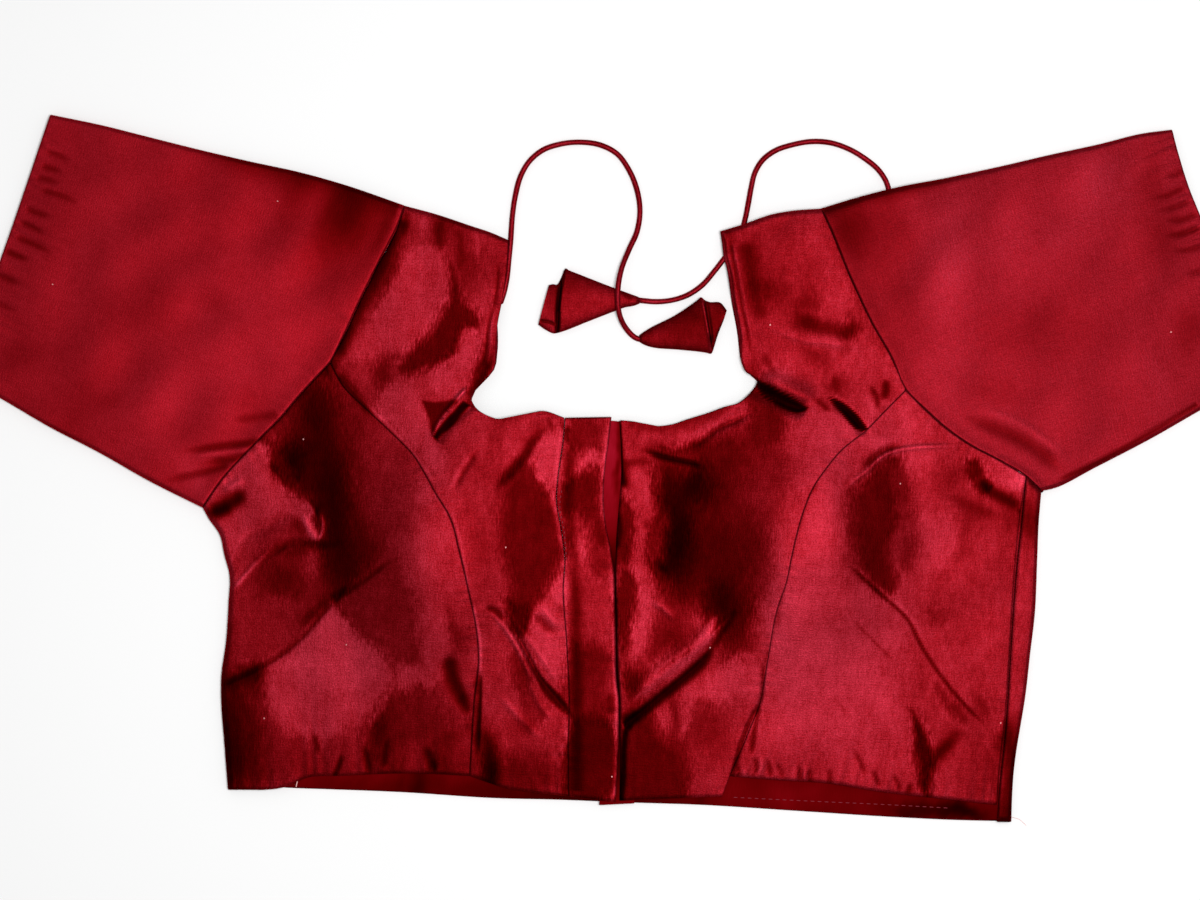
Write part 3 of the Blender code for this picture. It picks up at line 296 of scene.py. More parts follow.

# Creases are rows of (height, tone, reach left, reach right, fade in, fade out, route): a soft crest, or a
# trough where the height is negative, along a route of (x, y). The tone is painted highlight along it, or
# painted shade where negative; rows of height 0 are painted lines of shade or highlight with no fold
# under them. The fades are shares of the route's length.
FRONT_CREASES = [
    # left side panel: by the armhole, fold from the side, dart
    (0, -2.0, 5.5, 3.0, 0.05, 0.1, [(-122, 151.5), (-130, 136), (-139, 116.5), (-149.5, 95), (-158, 77),
        (-163, 62.5)]),
    (0, -0.3, 1.2, 1.0, 0.1, 0.0, [(-162, 61.5), (-183, 40.5), (-200, 23), (-213, 8), (-240, -17.5)]),
    (0.4, 0.35, 3, 2.5, 0.3, 0.3, [(-239.5, -19), (-228, -5), (-214, 7.5), (-202, 14.5)]),
    (-0.5, -2.4, 4.2, 3.5, 0.2, 0.3, [(-239.5, -28), (-226, -22), (-219, -17.5), (-215, -11)]),
    (0.5, 0.4, 2, 2, 0.3, 0.3, [(-228.5, -14), (-221.5, -9.5), (-215, -7)]),
    (0.4, 1.3, 1.6, 1.6, 0.3, 0.1, [(-181, -26), (-177, -35.5), (-171.5, -43.5)]),
    (0.3, 1.6, 1.2, 1.2, 0.2, 0.2, [(-170.5, -25), (-168.5, -37), (-171.5, -44)]),
    (-0.6, -1.0, 2, 3, 0.3, 0.5, [(-152, -43.5), (-170, -46.5), (-186, -44.5), (-201, -52.5), (-213, -62)]),
    (0.3, 0.9, 1.4, 1.4, 0.2, 0.4, [(-223, -73), (-214, -62.5), (-206.5, -54.5), (-197.5, -47)]),
    (-0.5, 0.0, 5, 2.5, 0.4, 0.4, [(-184, -26), (-201, -33.5), (-214, -40), (-221.5, -47.5)]),
    (0, -0.9, 3, 6, 0.1, 0.4, [(-228.5, -129.5), (-213, -123.5), (-200, -115.5)]),
    (0, -0.7, 3, 3, 0.3, 0.3, [(-201, 7), (-197, -2.5), (-189, -10.5)]),
    (0, -0.7, 3, 3, 0.3, 0.3, [(-188, -30.5), (-183, -35), (-177.5, -40.5)]),
    (0, -1.1, 4, 4, 0.3, 0.3, [(-236.5, -26.5), (-230, -26), (-222.5, -23)]),
    (0, -0.9, 3.5, 2.5, 0.3, 0.3, [(-185.5, -99.5), (-176, -88.5), (-166, -79.5), (-156.5, -74),
        (-148, -69.5)]),
    (0, -1.3, 4, 4, 0.3, 0.3, [(-172, 54.5), (-167, 59.5), (-160, 66.5)]),
    (-0.5, -0.9, 2.0, 1.0, 0.05, 0.05, [(-228.5, -129.5), (-213, -122.5), (-195, -112.5), (-181, -101),
        (-170.5, -89), (-163, -80.5)]),
    (-0.5, -0.9, 2.5, 1.2, 0.05, 0.3, [(-163, -80), (-153, -73.5), (-140, -64.5), (-125.5, -53)]),
    # left princess seam: bright fold above, shadow below
    (0, -1.4, 2.4, 2.4, 0.2, 0.3, [(-162, 59), (-150.5, 45.5), (-137, 29)]),
    (0, 0.6, 0.9, 0.9, 0.1, 0.1, [(-161, 58), (-147, 43), (-123, 19.5), (-108, 1), (-100, -11.5)]),
    (0, 0.4, 1.0, 1.0, 0.1, 0.1, [(-92, -22), (-85, -47.5), (-81.5, -73)]),
    (0, 0.9, 1.0, 1.0, 0.1, 0.1, [(-79, -79), (-74.5, -104), (-75.5, -133), (-78.5, -163)]),
    (-0.4, -2.2, 0.8, 2.6, 0.2, 0.3, [(-74.5, -117.5), (-74.5, -133), (-75, -148), (-75.5, -163),
        (-76, -178)]),
    (0, -0.9, 2.5, 3, 0.3, 0.3, [(-86, -133), (-83.5, -142), (-81, -148.5)]),
    # left cup, towards the hem
    (-0.7, -1.9, 4, 4, 0.2, 0.4, [(-93, -109), (-92, -122), (-88, -133), (-80, -148.5)]),
    (0.6, 0.5, 2.4, 1.6, 0.3, 0.3, [(-72.5, -81.5), (-62, -92), (-54.5, -103), (-49, -113.5), (-44, -124.5),
        (-36.5, -134)]),
    (-0.8, -0.9, 1.0, 1.4, 0.4, 0.1, [(-63, -85.5), (-56, -94.5), (-50, -104), (-45, -113.5), (-40, -123.5),
        (-34, -131.5), (-27.5, -139.5), (-20.5, -147.5)]),
    (-0.4, -1.3, 1.4, 1.4, 0.2, 0.3, [(-71.5, -82.5), (-65, -85), (-59.5, -92)]),
    (0.4, 0.4, 1.6, 2, 0.3, 0.3, [(-70, -77.5), (-60, -83), (-48.5, -98), (-37, -113.5), (-26, -133)]),
    (0.4, 0.45, 2, 2, 0.4, 0.3, [(-47.5, -117.5), (-42.5, -133), (-36, -145), (-29.5, -152)]),
    (0.3, 0.3, 2, 2, 0.3, 0.3, [(-65, -133), (-56, -143.5), (-45, -154.5), (-36, -164)]),
    (0, -1.3, 4, 4, 0.3, 0.2, [(-74, -152), (-69, -170), (-66.5, -194)]),
    (0.4, 0.5, 2, 2, 0.3, 0.3, [(-38.5, -81.5), (-33, -88.5), (-26, -95.5)]),
    (-0.4, -0.8, 2, 2, 0.3, 0.3, [(-42.5, -86), (-36, -93.5), (-29.5, -99.5)]),
    # by the strap and the neck
    (0, 0.5, 1.7, 1.7, 0.3, 0.3, [(-93.5, -15.5), (-87, -2), (-78.5, 10)]),
    (-0.4, -0.7, 1.6, 1.6, 0.3, 0.3, [(-90, -14), (-86, -5.5), (-81, 3.5), (-74, 12.5)]),
    (-0.4, -1.4, 2.2, 3.0, 0.3, 0.3, [(-34, 26.5), (-42.5, 17), (-48.5, 6.5), (-58, -4.5), (-69, -15.5)]),
    (0, -0.6, 1.2, 1.2, 0.3, 0.3, [(-35, 31.5), (-32, 25.5), (-31, 19.5)]),
    (0, -0.7, 1.0, 1.0, 0.3, 0.3, [(-27, 30.5), (-24.5, 23)]),
    # placket
    (0, 0.5, 1.4, 1.2, 0.0, 0.0, [(2.5, 26.5), (0.5, 2), (-0.5, -13), (0.5, -31), (3, -55), (5, -79),
        (5.5, -103), (6.5, -127), (7, -151), (5.5, -196)]),
    (0, 0.4, 1.5, 1.5, 0.1, 0.0, [(-26, 24.5), (-29, -1), (-30.5, -19), (-27, -37), (-25, -55), (-23.5, -79),
        (-23, -103), (-23, -133), (-23, -163)]),
    (0, -1.1, 3.5, 3.5, 0.1, 0.0, [(-19, 24.5), (-21.5, -1), (-23, -19), (-20.5, -37), (-18.5, -55),
        (-17, -103), (-17, -193)]),
    (0, 0.5, 1.8, 1.6, 0.2, 0.2, [(0, 26.5), (0, 5), (-2, -10), (-1, -26), (2, -41.5)]),
    (0, -1.0, 1.6, 1.6, 0.3, 0.3, [(-22, 26.5), (-23, 20.5), (-23, 14.5)]),
    (0, -0.7, 3, 3, 0.3, 0.3, [(2.5, -133), (3.5, -140), (3.5, -148.5)]),
    (0, 0.6, 1.4, 1.4, 0.2, 0.0, [(5.5, -109), (6.5, -133), (6.5, -157), (6, -178), (5.5, -197)]),
    (0, 0.5, 1.5, 1.5, 0.2, 0.2, [(-34, -8), (-31, -19), (-28, -34), (-26, -50)]),
    # along the neckline, and right front beside the opening
    (0, -0.8, 2, 2, 0.2, 0.2, [(12, 8), (13, -4), (14, -14)]),
    (0, -0.5, 3, 3, 0.2, 0.0, [(-66, 28.5), (-56, 31.5), (-42, 35), (-21, 34), (0.5, 33.5)]),
    (0, -0.6, 3, 3, 0.0, 0.2, [(9, 30.5), (24, 25), (38, 25), (57, 31), (81, 40)]),
    (0, -2.8, 1.5, 2.0, 0.1, 0.1, [(8, 29), (9, 11), (10, -1), (12, -12.5)]),
    (0, -1.5, 1.5, 1.5, 0.2, 0.2, [(8, -25), (9, -37), (6.5, -50)]),
    (0, -3.4, 1.8, 1.4, 0.1, 0.0, [(17.5, -151), (13, -155.5), (11.5, -164), (11, -178), (9.5, -199)]),
    (0, -1.7, 4, 3, 0.3, 0.3, [(9, -147.5), (15, -149.5), (21, -145)]),
    # right cup
    (1.2, 0, 6, 5, 0.2, 0.15, [(14, -137.5), (26, -128.5), (40, -116.5), (52, -107.5), (62, -98),
        (65.5, -89.5)]),
    (-0.6, -2.4, 1.3, 1.6, 0.3, 0.2, [(20, 13.5), (27, 10), (35, 7), (48, 4), (55, 2), (60, -1.5)]),
    (0, -0.7, 2.4, 2.4, 0.3, 0.3, [(11.5, 0.5), (16, 3.5), (23.5, 4), (29.5, 1.5)]),
    (0, 0.8, 1.6, 1.6, 0.3, 0.4, [(30.5, 0.5), (33, -5.5), (33.5, -13)]),
    (0, -0.8, 1, 1, 0.3, 0.3, [(26, -7), (29.5, -15.5), (35.5, -17.5)]),
    (-0.5, -0.7, 1.6, 2, 0.2, 0.2, [(48.5, 11), (57, 16.5), (66.5, 23.5), (78, 28.5), (88, 33.5)]),
    (-1.3, -2.8, 1.8, 3.2, 0.0, 0.2, [(11.5, -153.5), (21, -146), (32, -137), (47.5, -124.5), (58, -115),
        (65.5, -106.5)]),
    (0, -1.0, 1.4, 2.0, 0.1, 0.1, [(58, -115), (66, -104), (74, -92), (78.5, -82.5)]),
    (0, 0.5, 3, 3, 0.2, 0.2, [(47.5, -112), (57, -103), (64, -92), (66.5, -82.5)]),
    (0, -0.6, 0.9, 0.9, 0.2, 0.3, [(30.5, -123.5), (40, -115.5), (50, -109.5), (58, -104)]),
    (0, -0.4, 4, 4, 0.3, 0.3, [(21, 17), (33, 13.5), (48, 14.5)]),
    (0, 0.8, 0.8, 0.8, 0.1, 0.3, [(57, -107.5), (64, -99.5), (71.5, -92), (78, -85.5)]),
    (0.5, 0.6, 1.6, 1.6, 0.3, 0.3, [(27, -78.5), (33, -82), (38, -86), (42.5, -92)]),
    # right princess seam and the fold beside its foot
    (0, -0.45, 1.3, 1.3, 0.1, 0.1, [(128, -5.5), (119, -22), (114, -40), (109, -58), (105, -79),
        (100, -103)]),
    (0, 0.4, 1.0, 1.0, 0.1, 0.1, [(126, -11.5), (119, -22), (114, -40), (109, -58), (105, -79)]),
    (0, 0.5, 1.4, 1.4, 0.2, 0.2, [(96.5, -109), (95.5, -127), (92, -142.5), (86, -160)]),
    (-0.5, -1.0, 1.2, 1.2, 0.2, 0.0, [(98, -103), (95, -121), (93, -139), (86, -152), (80, -169),
        (73, -196.5)]),
    (-0.3, -1.3, 1.1, 1.3, 0.2, 0.2, [(93, -140), (91, -148), (89, -158), (87.5, -173)]),
    # right side
    (0.6, 0.35, 1.2, 1.6, 0.2, 0.3, [(140, -13.5), (148, -7), (156.5, -1), (164, 6.5), (172, 10.5),
        (183, 12.5), (200, 13.5), (218, 14)]),
    (-0.4, -1.1, 2.4, 1.4, 0.3, 0.3, [(152, -1), (159, 5), (167.5, 11), (180, 14)]),
    (0, 0.25, 4, 3, 0.3, 0.3, [(219, -5.5), (237, -8), (255, -13)]),
    (-0.3, -0.6, 3, 4, 0.3, 0.3, [(201, -14), (219, -22.5), (240, -31)]),
    (0, -1.4, 1.2, 1.2, 0.2, 0.2, [(245.5, -23.5), (252.5, -29.5), (257.5, -37)]),
    (0, -1.0, 1.2, 1.2, 0.2, 0.2, [(250, -30.5), (255, -27.5), (260, -26.5)]),
    (-0.35, -1.5, 0.8, 0.9, 0.1, 0.1, [(143, -55), (154, -65.5), (167.5, -77.5), (180, -89), (190, -107.5),
        (204, -128), (216, -142), (228.5, -155)]),
    (0, 0.35, 1.5, 1.2, 0.2, 0.2, [(147, -56), (156.5, -65), (170.5, -77.5), (182.5, -89), (192.5, -106.5)]),
    (0, -0.6, 0.9, 1.1, 0.2, 0.3, [(147, -89.5), (159, -101.5), (175, -117.5)]),
    (0, -0.4, 1.5, 1.5, 0.2, 0.3, [(135, -135.5), (141, -142.5), (148, -151)]),
    (-0.4, -1.6, 3.2, 3.2, 0.2, 0.3, [(224, -5.5), (231, -13.5), (242, -19.5), (251.5, -25)]),
    (0, -0.9, 3, 4, 0.1, 0.4, [(194, -179.5), (201.5, -169), (212, -161)]),
    (0, -1.0, 4, 4, 0.3, 0.3, [(216, -155.5), (204, -164), (195, -178)]),
    # straps
    (-1.8, 0, 3.0, 4.0, 0.0, 0.1, [(87, 48.5), (98, 43.5), (110, 38), (120.5, 34.5)]),
    (1.6, 0, 7, 2.5, 0.3, 0.3, [(91, 56.5), (105, 49), (117, 43.5), (128, 40)]),
    (-1.2, 0, 1.8, 2.0, 0.2, 0.1, [(135.5, 41), (144.5, 34), (152, 25.5), (155.5, 20)]),
    (0, -1.3, 1.4, 1.4, 0.3, 0.3, [(125, 43), (130, 38), (135.5, 33.5)]),
    (-0.7, 0, 2.2, 2.0, 0.1, 0.0, [(-78.5, 38.5), (-88, 30.5), (-95.5, 23), (-100, 16.5)]),
    (0, -1.0, 3, 2, 0.2, 0.1, [(-69, 67.5), (-71.5, 59), (-76, 50.5), (-83.5, 43)]),
    (1.0, 0.6, 0.9, 0.9, 0.1, 0.0, [(-82, 48.5), (-85, 45.5), (-90, 39.5), (-97, 30.5), (-101, 23.5),
        (-102, 18.5)]),
    (0, -0.7, 1.2, 1.2, 0.3, 0.3, [(-83.5, 43.5), (-78, 37), (-72.5, 33.5)]),
    (0, -0.8, 5, 5, 0.1, 0.2, [(83.5, 137), (86.5, 119), (90, 101), (95.5, 86)]),
    (0.5, 0.4, 6, 2.5, 0.3, 0.3, [(94, 87.5), (117, 77.5), (138, 74.5), (156.5, 71)]),
    (-0.4, -0.9, 4, 4, 0.3, 0.3, [(108, 94), (124, 86), (141, 82), (153, 77)]),
    (0, -1.5, 1.2, 1.2, 0.3, 0.3, [(158, 50.5), (162.5, 42.5), (163, 34)]),
    (0, -1.6, 2.2, 2.2, 0.3, 0.3, [(167.5, 54.5), (168, 47), (165.5, 40)]),
    (0, 0.5, 1.6, 1.6, 0.3, 0.3, [(155.5, 46), (159.5, 37.5), (159.5, 29)]),
    (0, -0.6, 2.5, 2.5, 0.3, 0.3, [(138.5, 56.5), (137.5, 48.5), (140, 43.5)]),
    (0, -0.6, 2, 2, 0.3, 0.3, [(94, 71), (98, 62.5), (102.5, 54.5)]),
    (0, -1.0, 3, 3, 0.2, 0.2, [(-152, 89), (-157, 79), (-162, 70)]),
    (0, -0.8, 2.6, 2.6, 0.2, 0.4, [(-99, 150.5), (-99, 139.5), (-98, 127.5)]),
    (0, -0.8, 2.0, 2.0, 0.2, 0.3, [(-119, 155), (-119.5, 145.5), (-122, 137)]),
    (0, -0.6, 2.4, 2.4, 0.2, 0.4, [(-88, 145.5), (-86, 131), (-87, 116)]),
    (0, 0.4, 2.0, 2.0, 0.2, 0.4, [(-108.5, 152.5), (-108.5, 142), (-110, 133.5)]),
    (0, 0.4, 1.8, 1.8, 0.2, 0.4, [(-78.5, 144.5), (-76, 131), (-76, 120.5)]),
    (-0.2, -0.9, 0.8, 0.8, 0.1, 0.1, [(-63.5, 124), (-65.5, 101), (-69.5, 86), (-71.5, 71), (-74, 58)]),
    (0.2, 0.5, 0.8, 0.8, 0.1, 0.1, [(-66.5, 101), (-68, 83), (-68.5, 71), (-70, 61.5)]),
    (-0.2, -0.9, 0.7, 0.7, 0.1, 0.2, [(74, 138.5), (78, 116), (82, 95), (86, 77), (88, 64)]),
    (0.2, 0.4, 0.8, 0.8, 0.1, 0.2, [(76, 137), (80.5, 116), (84.5, 95), (88, 77)]),
    # puckers over the hem
    (-0.4, -1.7, 1.2, 1.6, 0.4, 0.1, [(-157, -169), (-159, -177.5), (-162, -184.5)]),
    (-0.4, -1.6, 1.4, 1.8, 0.4, 0.2, [(-144.5, -164), (-142, -173.5), (-140, -183.5)]),
    (-0.4, -1.3, 1.6, 1.8, 0.4, 0.2, [(-130, -160), (-131.5, -170), (-132.5, -179.5)]),
    (-0.4, -1.7, 2.2, 2.6, 0.4, 0.2, [(-108.5, -164), (-105, -172.5), (-101, -182)]),
    (0, -0.9, 1.4, 1.8, 0.4, 0.3, [(-174.5, -155.5), (-173, -164), (-170, -171.5)]),
    (-0.3, -1.1, 0.9, 0.9, 0.4, 0.3, [(78, -176), (80, -181), (78.5, -185.5)]),
    (0.3, 0.5, 0.9, 0.9, 0.4, 0.3, [(81, -177.5), (83.5, -182), (85, -186.5)]),
    (-0.3, -1.1, 0.9, 0.9, 0.4, 0.3, [(89.5, -170.5), (90.5, -177.5), (89.5, -184.5)]),
    (0.3, 0.5, 0.9, 0.9, 0.4, 0.3, [(92, -170), (93.5, -178.5), (93, -185.5)]),
    (-0.3, -1.0, 1.2, 1.2, 0.4, 0.3, [(96.5, -172.5), (98.5, -179.5), (99, -185.5)]),
    (-0.3, -1.0, 1.1, 1.1, 0.4, 0.3, [(102.5, -173.5), (105, -181), (107, -186.5)]),
    (-0.3, -1.1, 1.2, 1.2, 0.4, 0.3, [(115, -176), (116.5, -182), (116, -188.5)]),
    (-0.3, -1.0, 1.1, 1.1, 0.4, 0.3, [(124, -178.5), (122, -183.5), (124, -189.5)]),
    (0.3, 0.4, 1.1, 1.1, 0.4, 0.3, [(119, -177.5), (120, -183.5), (120.5, -188.5)]),
    (-0.3, -0.9, 1.2, 1.2, 0.4, 0.3, [(132.5, -177.5), (134.5, -183.5), (134, -190)]),
    (-0.3, -0.9, 1.2, 1.2, 0.4, 0.3, [(148, -166.5), (153, -176), (156.5, -184.5)]),
    (-0.3, -1.1, 1.2, 1.2, 0.4, 0.3, [(160, -178.5), (162.5, -185.5), (165, -191.5)]),
    (-0.3, -1.1, 1.2, 1.2, 0.4, 0.3, [(172, -182), (175, -188), (177, -194)]),
    (-0.3, -1.2, 1.5, 1.5, 0.4, 0.3, [(183, -187), (182, -191.5), (180.5, -196)]),
]

# Broad painted shade and highlight of the sheen: rows of (tone, x, y, half width, half length, degrees by
# which the length is turned clockwise from +Y, left out where they are 0)
FRONT_BLOBS = [
    (-0.5, -129, -190, 102, 9.6, -90), (-0.4, 21, -193, 66, 8.4, -88),
    # left side
    (-0.75, -153, 11, 30, 48, -40), (-2.1, -162.5, -25, 13.2, 57, -10), (-2, -187, 4, 7.2, 18, -25),
    (-1.2, -174, 38, 14.4, 19.2), (0.6, -176, -58, 4.2, 10.8), (-1.6, -173.5, -27.5, 3, 7.2, 10),
    (-0.5, -192.5, -62, 12, 15.6), (-1, -184, -47.5, 7.2, 4.2), (-1.2, -231.5, -26, 6, 4.2),
    (0.4, -221.5, -58, 4.8, 14.4), (-0.4, -140, -53.5, 10.8, 24), (0.4, -135, -1, 15.6, 27.6),
    (-0.8, -192, -67, 22.8, 15.6), (-0.3, -192, -94, 26.4, 15.6), (-0.4, -160, -67, 9.6, 20.4),
    (-0.3, -140, -55, 12, 15.6), (-0.9, -210, -122, 20.4, 6, 62), (-0.9, -200, 4, 7.2, 24, -25),
    (-2.1, -225, -161.5, 9.6, 45), (-1, -212, -166, 10.8, 36), (-0.45, -165, -182, 54, 8.4),
    (-0.45, -183, -167.5, 30, 13.2), (-0.5, -153, -82.5, 7.2, 10.8, -35), (-0.6, -120.5, -98, 8.4, 12),
    (-1.2, -136, -160, 8.4, 16.8, 12), (-0.7, -114, -148, 13.2, 30), (-0.5, -90, -160, 12, 14.4),
    (0.3, -105, -46, 14.4, 30), (0.25, -101.5, -106, 6, 14.4, 15), (-0.4, -90, -92, 4.8, 13.2, -20),
    (-0.7, -99, -187, 36, 8.4, -90), (-0.9, -183, 11, 7.2, 8.4), (0.4, -198, 19.5, 7.2, 4.8),
    (0.4, -108, -17, 7.2, 8.4), (-0.6, -78.5, -154, 4.8, 6),
    # left centre
    (-0.4, -41.5, 24.5, 7.2, 4.8), (-0.5, -48, -154, 8.4, 4.8), (-0.3, -132, 116, 8.4, 24, 20),
    (-0.3, -83.5, 113, 4.8, 14.4), (-0.9, -132, 58, 10.8, 6, -75), (-0.35, -76, 0.5, 6, 7.2),
    (-0.3, -72, -49, 10.8, 30), (-1.2, -69.5, -178, 5.4, 18), (-1, -54, -183.5, 37.2, 16.8),
    (-0.6, -45.5, -142.5, 4.8, 13.2), (0.4, -48.5, -110, 3.6, 6, -30), (-0.7, -95.5, 146.5, 14.4, 9.6, -70),
    (-0.6, -130, 131, 7.2, 26.4, 20), (-0.3, -78, 137, 18, 18), (-0.35, -81, 122.5, 10.8, 13.2),
    (-0.35, -62.5, 116, 3.6, 26.4), (-0.3, -126.5, 110.5, 7.2, 26.4, 15), (-1.2, -74, 58, 4.8, 16.8, 25),
    (-0.3, -63, 26, 24, 4.8, -80), (-0.5, -93, -103, 7.2, 9.6),
    # placket
    (-0.15, -9, -88, 8.4, 18),
    # right centre
    (-1.1, 68, -31, 20.4, 51), (-1.2, 35.5, -8, 8.4, 18), (-1.5, 55, -8, 9.6, 13.2), (-0.6, 78, 8, 24, 13.2),
    (-2.8, 43, -41.5, 10.2, 32.4), (-1.4, 35, -46, 5.4, 20.4), (-0.7, 26, -46, 3.6, 12),
    (0.35, 105, -91, 13.2, 48), (-0.9, 21, -152, 8.4, 8.4), (-0.4, 66, -157, 13.2, 16.8),
    (-0.8, 17.5, -129.5, 7.2, 10.8), (-0.6, 51, 13, 18, 4.2), (0.5, 74, 26, 4.8, 9.6, 62),
    (-0.8, 82, -86, 6, 13.2), (-0.8, 86, -58, 13.2, 21.6), (-0.4, 102, -7, 9.6, 30, 10),
    (-1.9, 70, -82.5, 9.6, 15.6, -10), (-1.5, 33, -58, 4.8, 8.4), (-0.8, 57, -55, 15.6, 24),
    (-0.9, 94, 29, 8.4, 12), (-1, 38, -100, 13.2, 9.6, 40), (-0.9, 79, -103, 12, 13.2),
    (-0.5, 48, -154, 20.4, 18), (-0.4, 30, -184, 15.6, 18), (-1.2, 11.5, -40, 3.6, 19.2),
    (-0.8, 15, -127, 7.2, 13.2), (0.2, 111, 17, 14.4, 24), (-0.6, 57, -11.5, 10.8, 10.8),
    (-0.6, 30, -109, 6, 6), (-0.5, 40, -146, 3.6, 13.2), (0.5, 57, -92, 4.8, 6),
    # right side
    (-0.8, 252, -31.5, 4.8, 4.8), (-0.4, 178, -13, 4.8, 12), (0.4, 165, 13, 7.2, 3.6),
    (0.35, 130, -19, 14.4, 54, 15), (-0.6, 146, -37, 4.2, 20.4), (-0.5, 176, -8, 4.8, 20.4),
    (0.3, 156.5, 22, 24, 12), (0.9, 250, -3.5, 7.2, 8.4), (-0.3, 189, -133, 14.4, 27.6),
    (0.3, 130, -160, 8.4, 14.4), (0.6, 138, -115, 48, 54), (-0.25, 141, -89.5, 14.4, 8.4, 60),
    (0.3, 180, 17, 36, 12, -80), (0.3, 237, 5, 24, 8.4, -60), (-0.8, 239.5, -164, 6.6, 7.2),
    (-0.8, 246.5, -155.5, 4.8, 7.2), (-0.1, 216, -76, 20.4, 24), (-0.6, 243, -28, 8.4, 18),
    (-0.5, 198, -86, 8.4, 6), (-0.3, 168, 74, 6, 6), (-0.4, 222, -22, 24, 7.2, -70),
    (-0.7, 224, -141.5, 5.4, 9.6, -20), (-0.8, 239, -193, 6, 24), (-0.25, 129, -172, 36, 8.4, -85),
    (-0.5, 207, -4.5, 8.4, 9.6, -30), (0.1, 174, -139, 12, 12), (-0.35, 225, -181, 14.4, 24),
    # right strap
    (-0.3, 88, 124, 7.2, 24, -8), (-0.8, 87.5, 49.5, 6, 14.4), (-0.5, 102, 25, 12, 9.6),
    (-0.6, 148, 83.5, 8.4, 3.6), (0.3, 120.5, 91.5, 9.6, 3.6), (-0.5, 75, 133.5, 5.4, 10.8),
    (-0.6, 95.5, 107, 10.8, 7.2), (-0.6, 159, 101, 7.2, 36, -28), (-0.15, 117, 101, 36, 54),
    (-0.25, 99, 119, 18, 42), (0.4, 102, 58, 9.6, 7.2), (-0.8, 120, 94, 14.4, 7.8, -75),
    (-0.6, 146, 81.5, 13.2, 3.6, -78), (-0.5, 126.5, 66.5, 7.2, 5.4), (0.15, 147, 101, 20.4, 36, -20),
    (0.2, 117, 23, 24, 12), (-0.4, 138.5, 50.5, 7.2, 6),
]
